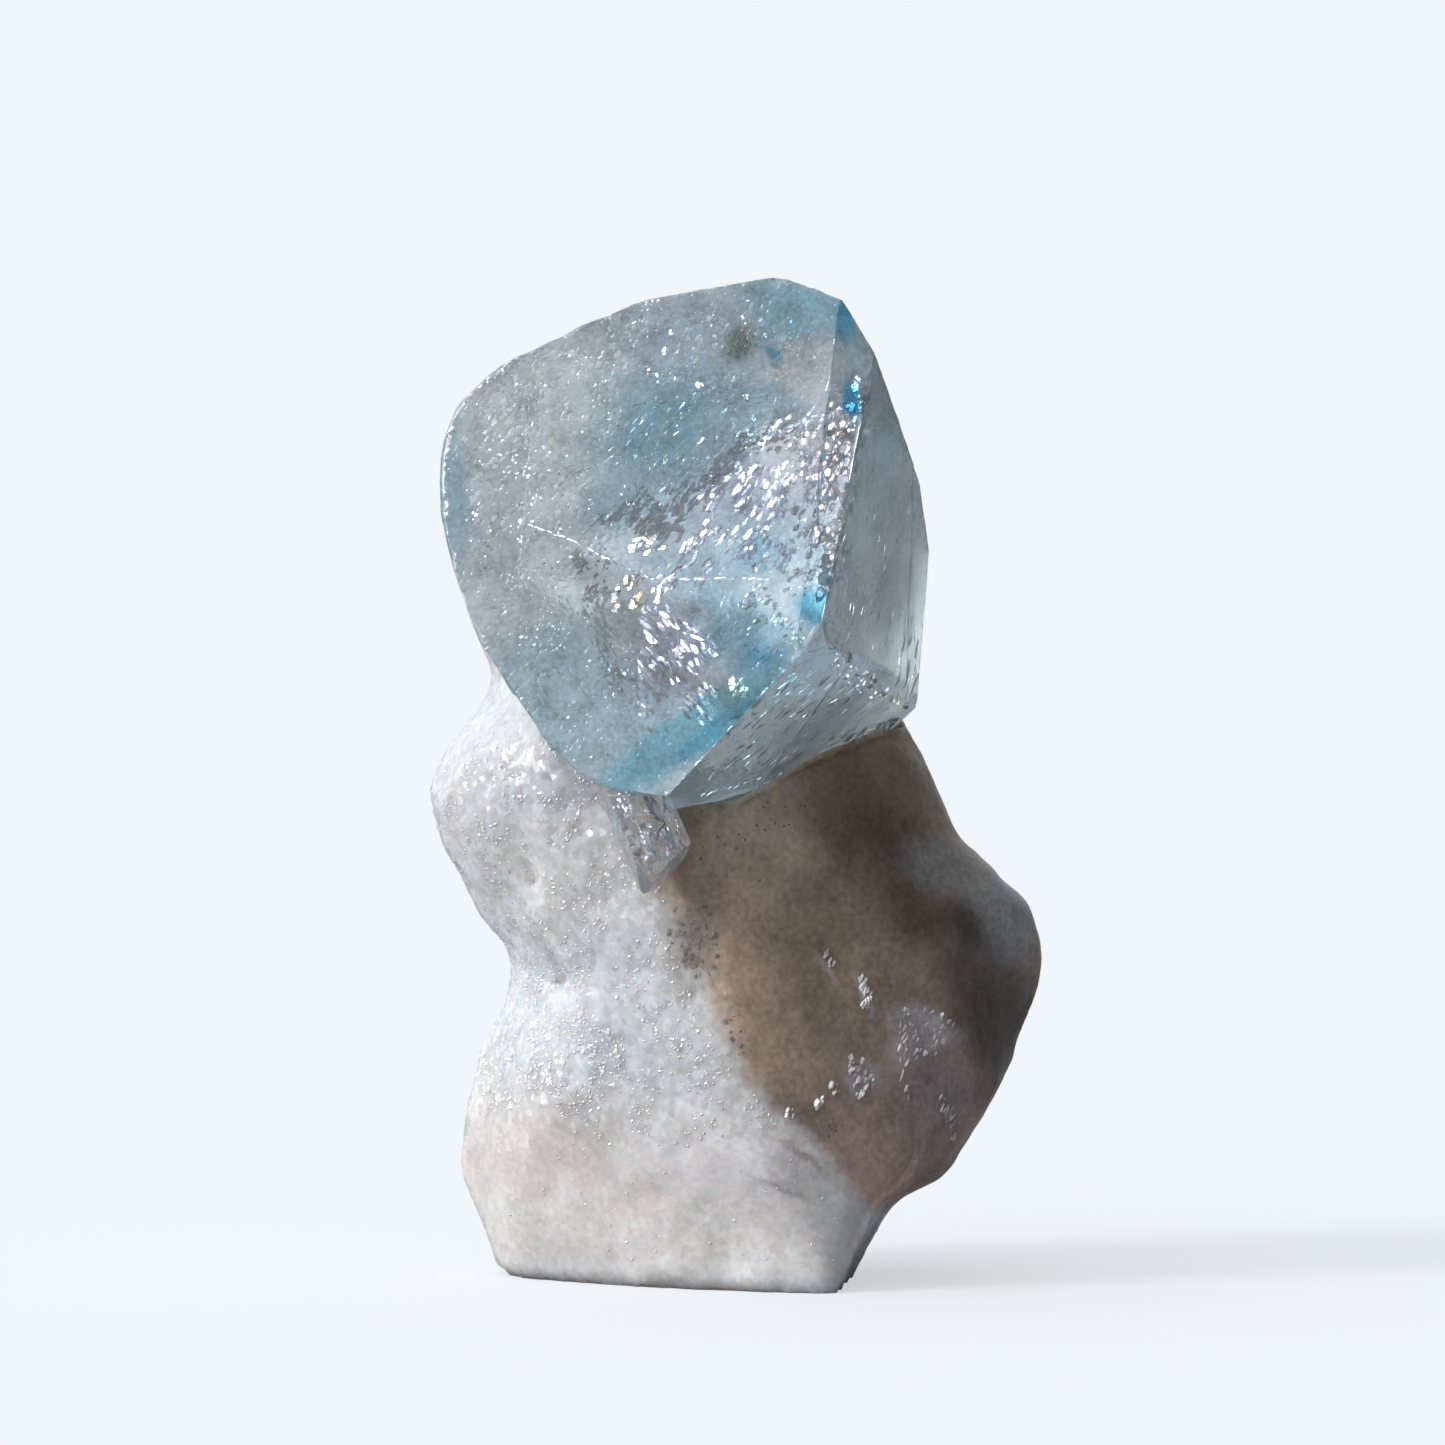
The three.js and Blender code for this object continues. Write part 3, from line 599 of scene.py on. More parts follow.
def lay_specks(bm, skin, kind, specks, shake, rng):
    """Small clusters of specks: dark grains, or cracks that catch the light."""
    for x, z, reach, count, longest in specks:
        for _ in range(count):
            turn, far = rng.uniform(0, math.tau), reach * math.sqrt(rng.random())
            depth = rng.uniform(0.1, 0.25)
            place, glint = inside(skin, x + far * math.cos(turn), z + far * math.sin(turn), depth)
            if place:
                looks = (glint + shaken(rng, shake)).normalized()
                along = shaken(rng, 1).normalized()
                size = longest * rng.uniform(0.5, 1)
                lay_plate(bm, kind, place, looks, along, size, size * rng.uniform(0.4, 0.8), 1.5 * FILM)


def crack_veils(skin, small_skin):
    """Healed cracks and tiny mineral specks inside the two crystals."""
    rng = random.Random(11)
    finishes = [speckled(*finish) for finish in CRACK_FINISHES]
    kinds = plates(len(finishes))
    large, small = bmesh.new(), bmesh.new()
    for veil in VEILS:
        lay_veil(large, skin, kinds, veil, rng)
    for line in HEALED_LINES:
        lay_line(large, skin, kinds, line, rng)
    lay_specks(large, skin, kinds[DARK], SPECKS, shake=0.5, rng=rng)
    lay_specks(large, skin, kinds[SILVER], SPARKS, shake=0.04, rng=rng)
    for veil in SMALL_VEILS:
        lay_veil(small, small_skin, kinds, veil, rng)
    for line in SMALL_LINES:
        lay_line(small, small_skin, kinds, line, rng)
    lay_specks(small, small_skin, kinds[DARK], SMALL_SPECKS, shake=0.12, rng=rng)
    for kind in kinds:
        bpy.data.meshes.remove(kind)
    finish_piece(large, "crack_veils", None, finishes)
    finish_piece(small, "small_veils", None, finishes)


def even_out(bm, free):
    """Brings the hollows out, and the lumps in, on the broken planes that face the front."""
    here = np.array([v.co for v in bm.verts])
    pairs = np.array([[v.index for v in e.verts] for e in bm.edges])
    ends, others = np.concatenate((pairs[:, 0], pairs[:, 1])), np.concatenate((pairs[:, 1], pairs[:, 0]))
    around = np.bincount(ends)[:, None]
    even = here.copy()
    for _ in range(70):
        totals = np.stack([np.bincount(ends, even[others, axis]) for axis in range(3)], axis=1)
        even = 0.5 * even + 0.5 * totals / around
    for v in free:
        share = smooth_step(0.25, 0.6, -v.normal.y) * smooth_step(0.2, 1.0, v.co.z)
        most_out = 0.1 + 0.4 * smooth_step(0.2, -0.9, right_of_ridge(v.co))
        step = (Vector(even[v.index]) - v.co).dot(v.normal)
        v.co += v.normal * share * max(-MOST_IN, min(most_out, step))


def shape_matrix():
    """The rock's own shape with its broken, sugary skin."""
    bm = merged_copy("matrix")
    mesh = bpy.data.meshes.new("rough")
    bm.to_mesh(mesh)
    bm.free()
    rough = bring_in("rough", mesh)
    remesh = rough.modifiers.new("remesh", "REMESH")
    remesh.mode = "VOXEL"
    remesh.voxel_size = CUBE
    seen = rough.evaluated_get(bpy.context.evaluated_depsgraph_get())
    bm = bmesh.new()
    bm.from_mesh(seen.to_mesh())
    bm.verts.index_update()
    bpy.data.objects.remove(rough)
    base = [v for v in bm.verts if v.co.z < BASE_BAND]
    free = [v for v in bm.verts if v.co.z >= BASE_BAND]
    ease(bm, free, times=4)
    even_out(bm, free)
    bm.normal_update()
    for v in free:
        shaded = smooth_step(-0.4, 0.6, right_of_ridge(v.co))
        lumps = 0.03 * ripple(v.co, 0.9) + 0.02 * ripple(v.co, 0.4)
        sugar = 0.024 * ripple(v.co, 0.2) + 0.028 * ripple(v.co, 0.12)
        calm = (1 - 0.85 * shaded) * (0.35 + 0.65 * smooth_step(2.4, 3.6, v.co.z))
        v.co += v.normal * (lumps + sugar * calm)
        v.co.z = max(v.co.z, LOWEST_SKIN)
    for v in base:
        v.co.z = 0
    skin = BVHTree.FromBMesh(bm)
    finish_piece(bm, "matrix_rock", "matrix", [rock()], smooth=40)
    return skin


def smooth_step(low, high, value):
    share = min(1, max(0, (value - low) / (high - low)))
    return share * share * (3 - 2 * share)


def right_of_ridge(place):
    """How far a place lies to the right of the ridge down the rock's front, in millimetres."""
    return min(place.x - RIDGE_X + run * (place.z - RIDGE_Z) for run in RIDGE_RUNS)


SUGAR, PIT, STEP = range(3)  # GRAIN_FINISHES
BARE = -0.2  # how low the slow noise is where the sugary skin has no grains
GRAIN_FIELDS = [
    # outline in the front view, how many, size, width as a share of size, tilt in degrees, which finish
    ([(-5.6, 9.6), (-4.6, 10.6), (-3.2, 9.9), (-2.3, 9.1), (-1.4, 7.4), (-0.9, 5.6), (-0.2, 4.2), (0.9, 3.0),
      (0.4, 2.6), (-2.6, 3.0), (-4.6, 3.3), (-4.9, 4.2), (-4.0, 5.6), (-4.6, 6.9), (-5.4, 8.2)],
     3000, (0.04, 0.12), (0.35, 0.8), 11, SUGAR),
    ([(-4.3, 5.9), (-2.6, 5.9), (-1.6, 4.8), (-2.2, 3.4), (-4.6, 3.2), (-4.8, 4.4)],
     1100, (0.04, 0.12), (0.35, 0.8), 8, SUGAR),
    ([(-4.9, 3.0), (0.9, 2.9), (1.9, 1.6), (1.9, 0.6), (-4.5, 0.5)],
     130, (0.05, 0.13), (0.4, 0.8), 12, SUGAR),
    ([(-1.15, 7.0), (-0.4, 7.0), (-0.3, 5.8), (-0.8, 5.7), (-1.25, 6.4)],
     60, (0.05, 0.2), (0.4, 0.9), 20, PIT),
    ([(-0.3, 5.1), (0.05, 5.1), (0.2, 4.2), (-0.1, 4.2)], 14, (0.05, 0.16), (0.3, 0.8), 20, PIT),
    ([(1.45, 3.2), (1.8, 3.2), (1.85, 2.8), (1.6, 2.85)], 7, (0.06, 0.14), (0.5, 0.9), 20, PIT),
    ([(-1.2, 8.7), (1.6, 9.2), (0.9, 7.4), (-1.0, 7.4)], 40, (0.04, 0.12), (0.4, 0.9), 20, PIT),
    ([(-4.9, 9.2), (-2.4, 9.0), (-1.4, 6.6), (-4.3, 6.8)], 6, (0.04, 0.07), (0.5, 0.9), 20, PIT),
    ([(1.56, 6.2), (1.66, 6.2), (1.84, 5.8), (1.7, 5.78)], 9, (0.08, 0.2), (0.3, 0.6), 14, STEP),
    ([(2.18, 5.75), (2.32, 5.72), (2.44, 5.4), (2.36, 5.05), (2.24, 5.1), (2.28, 5.4)],
     22, (0.08, 0.24), (0.3, 0.7), 10, STEP),
    ([(1.98, 4.3), (2.3, 4.2), (2.55, 3.8), (2.4, 3.55), (2.2, 3.5)],
     34, (0.06, 0.24), (0.3, 0.7), 12, STEP),
    ([(2.94, 5.15), (3.08, 5.15), (3.1, 4.5), (3.12, 3.5), (3.02, 3.5), (2.94, 4.3)],
     30, (0.07, 0.22), (0.2, 0.5), 9, STEP),
    ([(3.0, 5.2), (3.5, 5.15), (4.0, 4.85), (3.6, 4.3), (3.05, 4.2)],
     60, (0.04, 0.16), (0.3, 0.7), 16, STEP),
    ([(1.68, 3.78), (1.84, 3.76), (1.86, 3.56), (1.7, 3.58)], 5, (0.1, 0.2), (0.5, 0.8), 6, STEP),
    ([(1.4, 3.56), (1.6, 3.56), (1.58, 3.38), (1.4, 3.38)], 6, (0.1, 0.22), (0.5, 0.8), 6, STEP),
    ([(0.88, 3.34), (1.02, 3.34), (1.0, 3.18), (0.9, 3.18)], 4, (0.1, 0.18), (0.5, 0.8), 6, STEP),
    ([(3.66, 3.55), (3.84, 3.5), (4.1, 2.75), (4.0, 2.6), (3.78, 3.05)],
     34, (0.06, 0.22), (0.2, 0.5), 12, STEP),
]


def grains(skin):
    """Single grains of feldspar in the sugary skin, dark films in its pits as painted shade, and bright
    cleavage steps whose white is partly a painted highlight.
    """
    rng = random.Random(23)
    finishes = [speckled(*finish) for finish in GRAIN_FINISHES]
    kinds = plates(len(finishes))
    bm = bmesh.new()
    glint = (KEY_TOWARDS - SIGHT).normalized()
    for outline, count, sizes, wide, tilt, finish in GRAIN_FIELDS:
        for x, z, _ in scattered(outline, count, rng):
            place, outwards = seen_at(skin, x, z)
            if place is None or (finish == SUGAR and ripple(place, 0.8) < BARE):
                continue
            shake = lean(rng, tilt)
            looks = (glint + shake).normalized()
            if finish == PIT:
                looks = (outwards + shake * 0.4).normalized()
            size = rng.uniform(*sizes)
            turn = math.radians(70 + rng.gauss(0, 18 if finish == STEP else 50))
            along = Vector((math.cos(turn), 0, math.sin(turn)))
            width = size * rng.uniform(*wide)
            across = math.sin(math.acos(min(1, abs(looks.dot(outwards)))))
            out = 0.25 * width * across if finish == STEP else -0.2 * size * across
            thick = width * (0.4 if finish == SUGAR else 0.12)
            lay_plate(bm, kinds[finish], place + outwards * out, looks, along, size, width, thick)
    for kind in kinds:
        bpy.data.meshes.remove(kind)
    finish_piece(bm, "rock_grains", None, finishes)


# ---------------------------------------------------------------- finishes

NUMBER, VECTOR = "NodeSocketFloat", "NodeSocketVector"
HALVES = (0.5, 0.5, 0.5)


def new_group(name, takes, gives):
    """A shared effect's own tree, and the values it is given."""
    group = bpy.data.node_groups.new(name, "ShaderNodeTree")
    for side, sockets in (("INPUT", takes), ("OUTPUT", gives)):
        for label, kind in sockets.items():
            group.interface.new_socket(name=label, in_out=side, socket_type=kind)
    return group, node(group, "NodeGroupInput").outputs


def give(group, **results):
    """Ends a shared effect with what it works out."""
    dress(group, node(group, "NodeGroupOutput"), **results)
    return group


def place_group():
    """The object's own coordinates in millimetres, shaken by noise so that no patch has a drawn edge."""
    group, given = new_group(
        "shaken_place",
        dict(Shake=NUMBER, Size=NUMBER),
        dict(Place=VECTOR, Shaken=VECTOR),
    )
    where = node(group, "ShaderNodeTexCoord").outputs["Object"]
    large = vectors(group, "SCALE", where, Scale=1 / MM)
    cloud = node(group, "ShaderNodeTexNoise", Vector=large, Scale=given["Size"], Detail=6.0, Roughness=0.62)
    centred = vectors(group, "SUBTRACT", cloud.outputs["Color"], HALVES)
    moved = vectors(group, "SCALE", centred, Scale=given["Shake"])
    return give(group, Place=large, Shaken=vectors(group, "ADD", large, moved))


def patch_group():
    """A soft oval patch in x and z, through the whole depth of the piece."""
    group, given = new_group(
        "soft_patch",
        dict(Place=VECTOR, Centre=VECTOR, Turn=VECTOR, Reach=VECTOR, Softness=NUMBER),
        dict(Mask=NUMBER),
    )
    off = vectors(group, "SUBTRACT", given["Place"], given["Centre"])
    turned = node(group, "ShaderNodeVectorRotate", rotation_type="EULER_XYZ", Vector=off)
    dress(group, turned, Rotation=given["Turn"])
    over = vectors(group, "DIVIDE", turned.outputs[0], given["Reach"])
    flat = vectors(group, "MULTIPLY", over, (1, 0, 1))
    far = node(group, "ShaderNodeVectorMath", flat, operation="LENGTH").outputs["Value"]
    start = sums(group, "ADD", 1, given["Softness"])
    end = sums(group, "SUBTRACT", 1, given["Softness"])
    return give(group, Mask=stretched(group, far, start, end, curve="SMOOTHSTEP"))


def mottle_group():
    """Fine and coarse cloudiness, as one colour factor about 1, and the coarse cloud alone."""
    group, given = new_group(
        "mottle",
        dict(Place=VECTOR, Coarse=NUMBER, Fine=NUMBER, Depth=NUMBER),
        dict(Shade=NUMBER, Coarse=NUMBER),
    )
    big = node(group, "ShaderNodeTexNoise", Vector=given["Place"], Scale=given["Coarse"], Detail=4.0)
    small = node(group, "ShaderNodeTexNoise", Vector=given["Place"], Scale=given["Fine"], Detail=2.0)
    total = sums(group, "ADD", big.outputs[0], small.outputs[0])
    centred = sums(group, "SUBTRACT", total, 1)
    shade = sums(group, "MULTIPLY_ADD", centred, given["Depth"], 1)
    return give(group, Shade=shade, Coarse=big.outputs[0])


def use(tree, group, **values):
    """Puts a shared effect into a material, and returns what it works out."""
    made = node(tree, "ShaderNodeGroup")
    made.node_tree = GROUPS[group]
    dress(tree, made, **values)
    return made.outputs


def shaded(tree, colour, shade):
    grey = node(tree, "ShaderNodeCombineColor", shade, shade, shade)
    return mix(tree, 1.0, colour, grey.outputs[0], "MULTIPLY")


def bump(tree, height, distance):
    return node(tree, "ShaderNodeBump", Height=height, Distance=distance).outputs[0]


def fresh(name):
    material = bpy.data.materials.new(name)
    material.use_nodes = True
    tree = material.node_tree
    return material, tree, tree.nodes["Principled BSDF"]


def absorb(tree, colour, density):
    depth = node(tree, "ShaderNodeVolumeAbsorption", Color=colour, Density=density)
    dress(tree, tree.nodes["Material Output"], Volume=depth.outputs[0])


CRYSTAL_TINT = (0.72, 0.82, 0.86)
CRYSTAL_PATCHES = [
    # x and z of the middle, half width and height, turn in degrees, softness, colour
    (-3.6, 15.7, 1.9, 2.0, 20, 0.6, (1.0, 0.99, 0.96)),
    (-3.9, 12.6, 1.2, 1.0, 0, 0.6, (0.93, 0.92, 0.90)),
    (-3.0, 10.9, 1.3, 1.3, 35, 0.5, (0.58, 0.74, 0.78)),
    (-1.2, 15.4, 1.4, 1.1, 40, 0.6, (0.27, 0.52, 0.62)),
    (-2.0, 14.4, 0.9, 0.5, 30, 0.6, (0.46, 0.66, 0.76)),
    (0.3, 15.9, 0.7, 0.5, 20, 0.6, (0.38, 0.62, 0.72)),
    (1.1, 17.7, 0.9, 0.6, -15, 0.5, (0.32, 0.62, 0.74)),
    (-0.9, 17.3, 1.0, 0.6, 20, 0.7, (0.72, 0.80, 0.88)),
    (0.07, 17.15, 0.3, 0.32, 0, 0.6, (0.13, 0.17, 0.12)),
    (1.35, 16.75, 0.6, 0.45, 10, 0.5, (0.95, 0.88, 0.82)),
    (0.62, 16.95, 0.22, 0.1, -40, 0.8, (0.08, 0.36, 0.50)),
    (0.1, 14.2, 1.9, 1.0, 35, 0.7, (0.50, 0.52, 0.60)),
    (0.3, 13.5, 1.0, 0.5, 25, 0.6, (0.42, 0.54, 0.64)),
    (1.0, 15.2, 0.5, 0.6, 10, 0.6, (0.72, 0.68, 0.72)),
    (-1.1, 11.6, 1.2, 0.9, -35, 0.7, (0.56, 0.56, 0.64)),
    (-2.2, 12.9, 0.6, 0.3, -20, 0.6, (0.40, 0.42, 0.42)),
    (0.25, 11.9, 0.8, 0.6, -20, 0.6, (0.30, 0.58, 0.74)),
    (0.4, 11.5, 0.4, 0.3, 30, 0.6, (0.06, 0.32, 0.54)),
    (-0.75, 10.25, 2.0, 0.45, 34, 0.35, (0.20, 0.54, 0.66)),
    (-0.3, 10.35, 1.0, 0.2, 36, 0.4, (0.05, 0.36, 0.54)),
    (1.9, 14.8, 0.45, 2.2, 8, 0.5, (1.0, 0.97, 1.0)),
    (1.95, 17.6, 0.14, 0.4, 5, 0.5, (0.16, 0.60, 0.84)),
    (2.05, 16.15, 0.17, 0.35, 5, 0.5, (0.08, 0.50, 0.84)),
    (2.2, 14.8, 0.12, 0.45, 5, 0.5, (0.12, 0.46, 0.80)),
    (1.4, 12.5, 0.3, 0.35, 10, 0.5, (0.10, 0.50, 0.74)),
    (-5.2, 14.3, 0.35, 1.1, 0, 0.5, (0.50, 0.72, 0.82)),
    # dark over the right edge, against the light that shows through there: painted shade
    (3.4, 11.8, 0.7, 2.3, 0, 0.5, (0.13, 0.16, 0.17)),
]
# the crystal's right-hand faces, turned from the key light, are tinted grey: painted shade
RIGHT_FACES_PAINTED_SHADE = (0.54, 0.56, 0.56)
# over those faces: more painted shade, lighter and darker in places, darkest near the right edge to hide the
# light that shows through there
RIGHT_FACES_SHADE_PATCHES = [
    (3.35, 12.3, 0.3, 1.1, 0, 0.5, (0.21, 0.235, 0.23)),
    (2.6, 14.0, 0.6, 1.7, 0, 0.5, (0.66, 0.68, 0.67)),
    (3.6, 11.2, 0.5, 2.4, 0, 0.5, (0.28, 0.31, 0.31)),
    (2.8, 11.9, 0.3, 1.4, 0, 0.5, (0.34, 0.37, 0.37)),
    (2.9, 10.3, 0.9, 0.6, 20, 0.6, (0.24, 0.25, 0.22)),
    (1.2, 10.0, 1.2, 0.7, 25, 0.6, (0.34, 0.32, 0.28)),
]


def euclase_glass():
    material, tree, skin = fresh("euclase_glass")
    place = use(tree, "place", Shake=0.45, Size=1.6)
    calm = node(tree, "ShaderNodeAttribute", attribute_name="calm").outputs["Fac"]
    etched = node(tree, "ShaderNodeAttribute", attribute_name="etched").outputs["Fac"]
    front = painted(tree, CRYSTAL_TINT, CRYSTAL_PATCHES, place["Shaken"])
    # the right-hand faces get the painted shade
    right_hand = painted(tree, RIGHT_FACES_PAINTED_SHADE, RIGHT_FACES_SHADE_PATCHES, place["Shaken"])
    cloudy = use(tree, "mottle", Place=place["Place"], Coarse=2.0, Fine=11.0, Depth=1.3)
    rough = stretched(tree, cloudy["Coarse"], 0.3, 0.8, 0.03, 0.12)
    rough = sums(tree, "MULTIPLY_ADD", etched, 0.3, rough)
    rough = sums(tree, "MULTIPLY_ADD", calm, 0.16, rough)
    pits = use(tree, "mottle", Place=place["Place"], Coarse=4.5, Fine=11.0, Depth=1.0)
    colour = mix(tree, calm, front, right_hand)
    dress(
        tree, skin, Base_Color=shaded(tree, colour, cloudy["Shade"]), Roughness=rough,
        Normal=bump(tree, pits["Shade"], 0.009 * MM), IOR=BENDING, Transmission_Weight=0.79,
    )
    absorb(tree, (0.72, 0.9, 1.0), 45)
    return material


def clear_glass():
    material, tree, skin = fresh("clear_glass")
    place = use(tree, "place", Shake=0.2, Size=3.0)
    cloudy = use(tree, "mottle", Place=place["Shaken"], Coarse=2.6, Fine=9.0, Depth=0.3)
    colour = mix(tree, cloudy["Coarse"], (0.96, 0.97, 0.97), (1.0, 1.0, 1.0))
    dress(
        tree, skin, Base_Color=colour, Roughness=0.03, Normal=bump(tree, cloudy["Shade"], 0.012 * MM),
        IOR=BENDING, Transmission_Weight=0.82,
    )
    absorb(tree, (0.85, 0.95, 1.0), 15)
    return material


def speckled(name, coarse, darkest, lightest, roughness, low=0.0, high=1.0, metal=0.0, shine=0.5):
    """A finish that wanders between two colours, over this range of the coarse cloud."""
    material, tree, skin = fresh(name)
    place = use(tree, "place", Shake=0.0, Size=1.0)
    cloudy = use(tree, "mottle", Place=place["Place"], Coarse=coarse, Fine=6.0, Depth=1.0)
    share = stretched(tree, cloudy["Coarse"], low, high)
    dress(
        tree, skin, Base_Color=mix(tree, share, darkest, lightest), Roughness=roughness, Metallic=metal,
        Specular_IOR_Level=shine,
    )
    return material


CRACK_FINISHES = [
    # name, coarse clouds per millimetre, darkest and lightest colour, roughness, range of the cloud, metal
    ("crack_silver", 1.3, (0.80, 0.86, 1.0), (1.0, 0.93, 0.95), 0.2, 0.0, 1.0, 1.0),
    ("blue_film", 1.8, (0.12, 0.42, 0.62), (0.45, 0.70, 0.85), 0.25),
    ("dark_speck", 2.2, (0.006, 0.009, 0.02), (0.12, 0.12, 0.13), 0.4),
    ("straw_glint", 1.3, (1.0, 0.80, 0.52), (1.0, 0.92, 0.74), 0.2, 0.0, 1.0, 1.0),
    ("milky_film", 3.0, (0.55, 0.58, 0.60), (0.97, 0.97, 0.98), 0.35, 0.38, 0.6),
]
GRAIN_FINISHES = [
    # as above, and how much the surface shines
    ("sugar_grain", 0.8, (0.60, 0.60, 0.62), (0.72, 0.72, 0.72), 0.24, 0.0, 1.0, 0.0, 0.3),
    # dark films laid in the pits as painted shade
    ("pit_shade_film", 2.2, (0.10, 0.085, 0.07), (0.34, 0.29, 0.25), 0.5),
    # cleavage steps: their own white, which also stands for a painted highlight where they are lightest
    ("cleavage_glint", 4.0, (0.40, 0.34, 0.33), (0.98, 0.95, 0.94), 0.3, 0.4, 0.66),
]


ROCK_WHITE = (0.68, 0.68, 0.685)
# the rock right of the ridge: its own brown, darkened by painted shade as it lies away from the key light
ROCK_BROWN_AND_PAINTED_SHADE = (0.40, 0.31, 0.245)
ROCK_PATCHES = [
    # x and z of the middle, half width and height, turn in degrees, softness, colour
    (-3.4, 2.0, 1.9, 1.6, 0, 0.6, (0.66, 0.61, 0.58)),
    (-1.7, 1.7, 0.4, 0.3, 20, 0.6, (0.54, 0.45, 0.37)),
    # darker on the knob's top, where the key light falls most: painted shade
    (-4.4, 9.2, 1.7, 1.3, 0, 0.6, (0.60, 0.60, 0.61)),
    (-3.2, 7.5, 1.2, 1.0, 0, 0.7, (0.66, 0.65, 0.645)),
    (-2.9, 4.9, 1.4, 1.3, 0, 0.7, (0.71, 0.72, 0.74)),
    # lighter low in the middle, where the rock turns from the key light: painted light
    (0.2, 2.2, 1.6, 1.2, 0, 0.7, (0.82, 0.78, 0.78)),
    # lighter and warmer along the foot: the rock's own warm tint, lifted by painted light against the shade
    # near the floor
    (-1.6, 0.9, 3.6, 0.9, 0, 0.7, (0.79, 0.745, 0.72)),
    # darker round the pits: painted shade in the hollows
    (-0.75, 6.3, 0.4, 0.7, -15, 0.8, (0.48, 0.44, 0.40)),
    # lighter on a strip that turns from the key light: painted light
    (1.0, 2.75, 0.55, 0.28, -42, 0.7, (0.92, 0.86, 0.85)),
    (1.25, 2.4, 0.6, 0.05, -40, 0.8, (0.62, 0.55, 0.52)),
    (0.75, 1.9, 0.55, 0.05, -25, 0.8, (0.62, 0.58, 0.57)),
]
# over the rock right of the ridge: painted shade, darker towards the right and under the crystal, with a
# painted warm glow of light through the rock near the ridge that also lifts the crystal's cast shadow; some
# grey and reddish tones are the rock's own
PAINTED_SHADE_AND_GLOW_PATCHES = [
    (0.2, 8.4, 1.2, 1.0, 0, 0.6, (0.54, 0.44, 0.34)),
    (2.7, 8.8, 1.3, 1.4, 0, 0.6, (0.24, 0.185, 0.14)),
    (3.1, 7.4, 2.0, 0.8, -50, 0.6, (0.16, 0.12, 0.09)),
    (0.1, 5.6, 0.9, 2.2, -15, 0.7, (0.60, 0.445, 0.325)),
    (0.9, 4.3, 1.1, 0.7, -45, 0.6, (0.58, 0.43, 0.32)),
    (1.6, 6.1, 0.9, 1.5, -15, 0.7, (0.36, 0.265, 0.19)),
    (3.0, 3.0, 1.5, 1.3, 0, 0.7, (0.40, 0.285, 0.24)),
    (2.1, 2.3, 1.0, 0.8, 0, 0.6, (0.52, 0.375, 0.305)),
    (3.6, 7.55, 0.55, 0.4, -40, 0.7, (0.30, 0.28, 0.27)),
    (4.9, 6.8, 0.75, 1.2, 0, 0.5, (0.33, 0.32, 0.325)),
    (4.2, 6.5, 0.28, 0.45, 15, 0.7, (0.10, 0.08, 0.06)),
    (4.8, 4.7, 0.8, 1.5, 20, 0.6, (0.13, 0.105, 0.09)),
    # the next two: lighter painted highlights where cleavage steps catch the light, over their own white
    (3.35, 4.75, 0.62, 0.3, -28, 0.5, (0.62, 0.56, 0.55)),
    (3.2, 4.4, 0.32, 0.35, 0, 0.6, (0.56, 0.50, 0.49)),
    (3.7, 3.5, 0.6, 0.9, -20, 0.6, (0.36, 0.29, 0.285)),
    # the next three: painted highlights on cleavage steps, over their own white
    (1.65, 5.9, 0.3, 0.07, -60, 0.8, (0.50, 0.43, 0.42)),
    (2.3, 5.3, 0.35, 0.08, -80, 0.8, (0.52, 0.46, 0.47)),
    (2.25, 3.85, 0.32, 0.26, -50, 0.7, (0.55, 0.49, 0.48)),
    (2.6, 1.5, 0.8, 0.7, 0, 0.6, (0.54, 0.37, 0.31)),
    # darker round the pits: painted shade in the hollows
    (-0.75, 6.3, 0.4, 0.7, -15, 0.8, (0.38, 0.33, 0.28)),
    # lighter on a strip that turns from the key light: painted light
    (1.0, 2.65, 0.9, 0.28, -45, 0.7, (0.80, 0.73, 0.71)),
]


def painted(tree, start, patches, place):
    """A colour with soft patches laid over it one by one."""
    colour = start
    for x, z, wide, high, turn, soft, tint in patches:
        patch = use(
            tree, "patch", Place=place, Centre=(x, 0, z), Turn=(0, math.radians(turn), 0),
            Reach=(wide, 1, high), Softness=soft,
        )
        colour = mix(tree, patch["Mask"], colour, tint)
    return colour


def beyond_ridge_group():
    """The part of the rock to the right of the ridge, where the painted shade goes, as a mask."""
    group, given = new_group("beyond_ridge", dict(Place=VECTOR), dict(Mask=NUMBER))
    apart = node(group, "ShaderNodeSeparateXYZ", given["Place"]).outputs
    lines = []
    for run in RIDGE_RUNS:
        shift = sums(group, "SUBTRACT", apart["X"], RIDGE_X + run * RIDGE_Z)
        lines.append(sums(group, "MULTIPLY_ADD", apart["Z"], run, shift))
    nearer = sums(group, "MINIMUM", *lines)
    return give(group, Mask=stretched(group, nearer, -0.2, 0.65, curve="SMOOTHSTEP"))


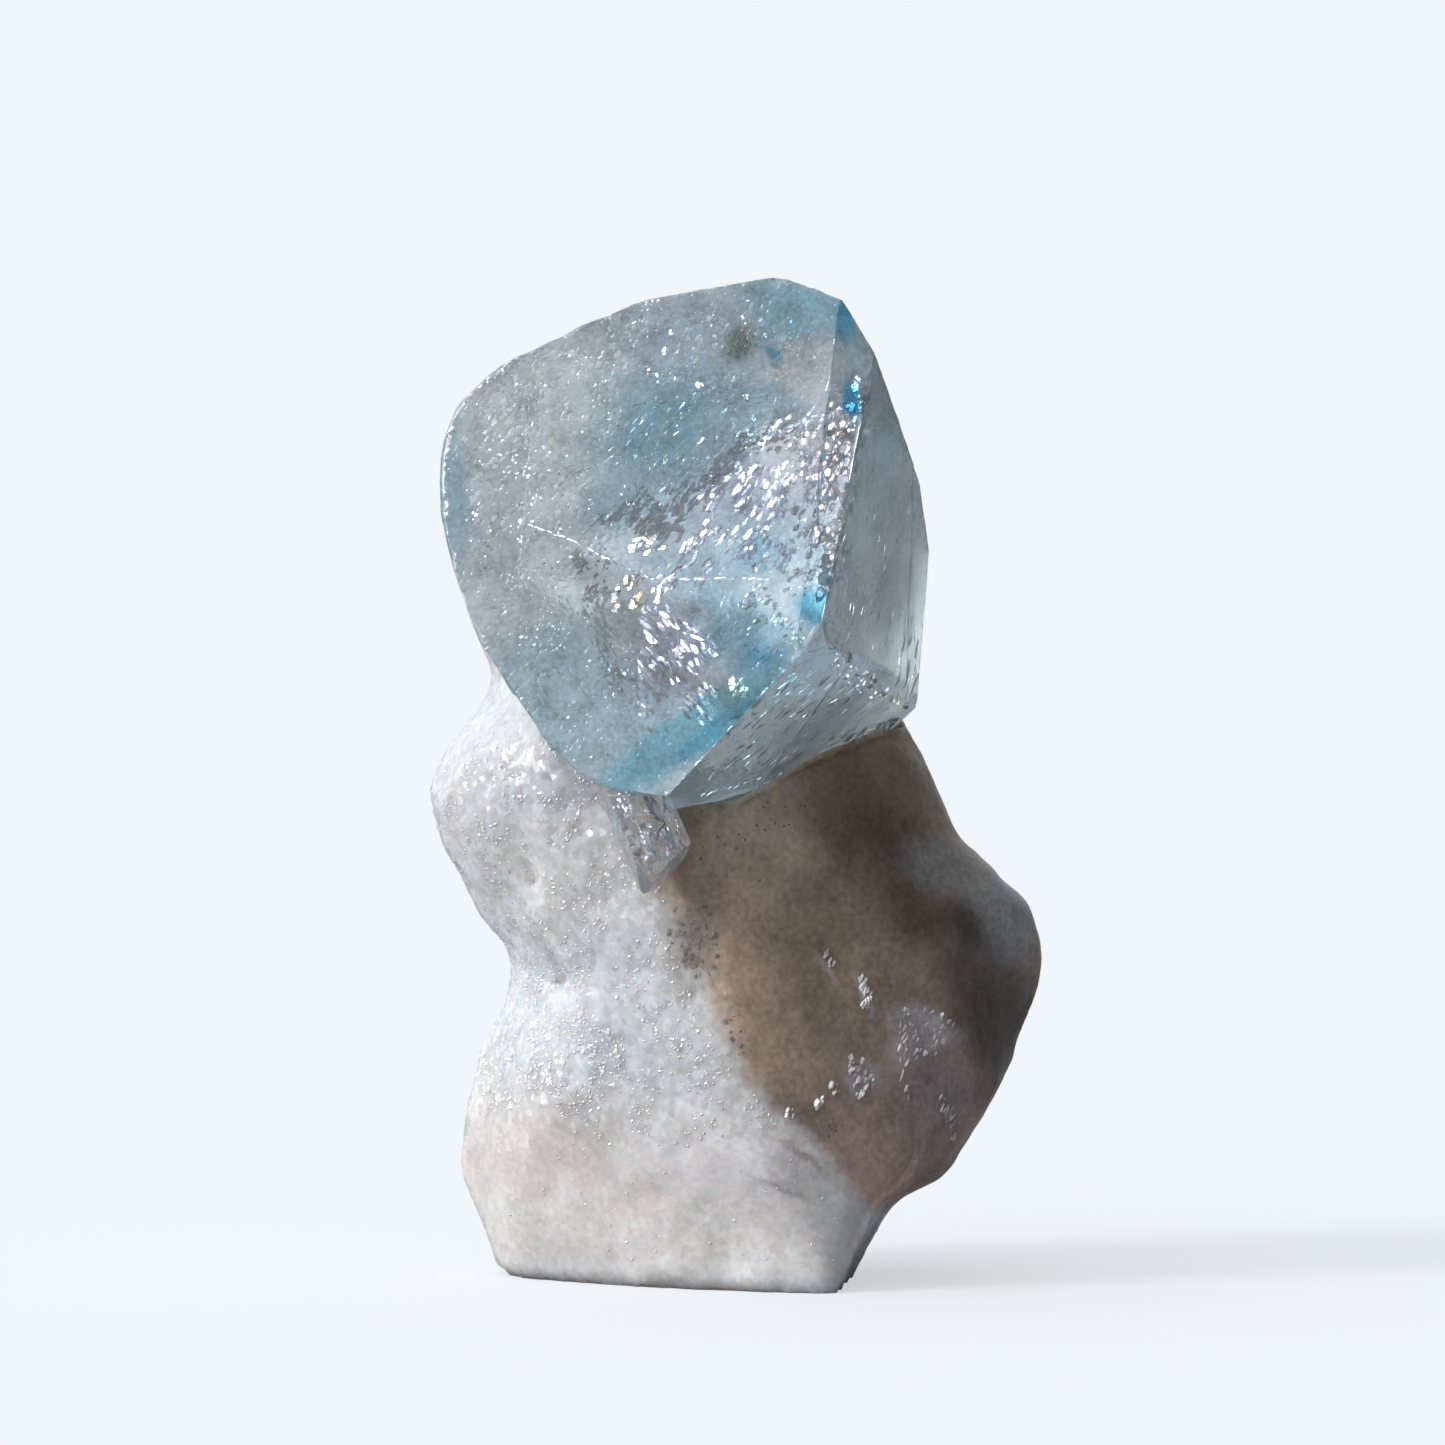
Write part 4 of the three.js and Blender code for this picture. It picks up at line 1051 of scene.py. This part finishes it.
def grains_group():
    """Small crystal grains: each cell of the skin looks a slightly different way."""
    group, given = new_group("grains", dict(Place=VECTOR, Size=NUMBER, Tilt=NUMBER), dict(Normal=VECTOR))
    cells = node(group, "ShaderNodeTexVoronoi", Vector=given["Place"], Scale=given["Size"], feature="F1")
    centred = vectors(group, "SUBTRACT", cells.outputs["Color"], HALVES)
    tilted = vectors(group, "SCALE", centred, Scale=given["Tilt"])
    surface = node(group, "ShaderNodeNewGeometry").outputs["Normal"]
    return give(group, Normal=vectors(group, "NORMALIZE", vectors(group, "ADD", surface, tilted)))


def rock():
    material, tree, skin = fresh("feldspar_and_quartz")
    place = use(tree, "place", Shake=0.6, Size=1.3)
    white = painted(tree, ROCK_WHITE, ROCK_PATCHES, place["Shaken"])
    brown_and_shade = painted(tree, ROCK_BROWN_AND_PAINTED_SHADE, PAINTED_SHADE_AND_GLOW_PATCHES, place["Shaken"])
    side = use(tree, "beyond_ridge", Place=place["Shaken"])["Mask"]
    depth = stretched(tree, side, start=0.35, end=0.85)
    cloudy = use(tree, "mottle", Place=place["Place"], Coarse=1.4, Fine=9.0, Depth=depth)
    foot = use(
        tree, "patch", Place=place["Shaken"], Centre=(-1.6, 0, 1.2), Turn=(0, 0, 0), Reach=(4.2, 1, 1.7),
        Softness=0.25,
    )
    smooth_part = sums(tree, "MAXIMUM", sums(tree, "MULTIPLY", foot["Mask"], 0.65), side)
    tilt = stretched(tree, smooth_part, start=0.5, end=0.1)
    faces = use(tree, "grains", Place=place["Place"], Size=9.0, Tilt=tilt)
    # right of the ridge the painted shade takes over from the white
    colour = mix(tree, side, white, brown_and_shade)
    dress(
        tree, skin, Base_Color=shaded(tree, colour, cloudy["Shade"]),
        Roughness=stretched(tree, side, start=0.24, end=0.42),
        Normal=faces["Normal"], Specular_IOR_Level=0.32,
        Coat_Weight=stretched(tree, smooth_part, start=0.35, end=0.0), Coat_Roughness=0.1,
        Subsurface_Weight=0.9, Subsurface_Radius=(1.0, 0.8, 0.64), Subsurface_Scale=0.8 * MM,
    )
    return material


GROUPS = {
    "place": place_group(),
    "patch": patch_group(),
    "mottle": mottle_group(),
    "beyond_ridge": beyond_ridge_group(),
    "grains": grains_group(),
}
bpy.context.scene.view_settings.view_transform = "Standard"
place_camera()
lay_floor()
light_room()
crack_veils(shape_crystal(), shape_small_crystal())
grains(shape_matrix())
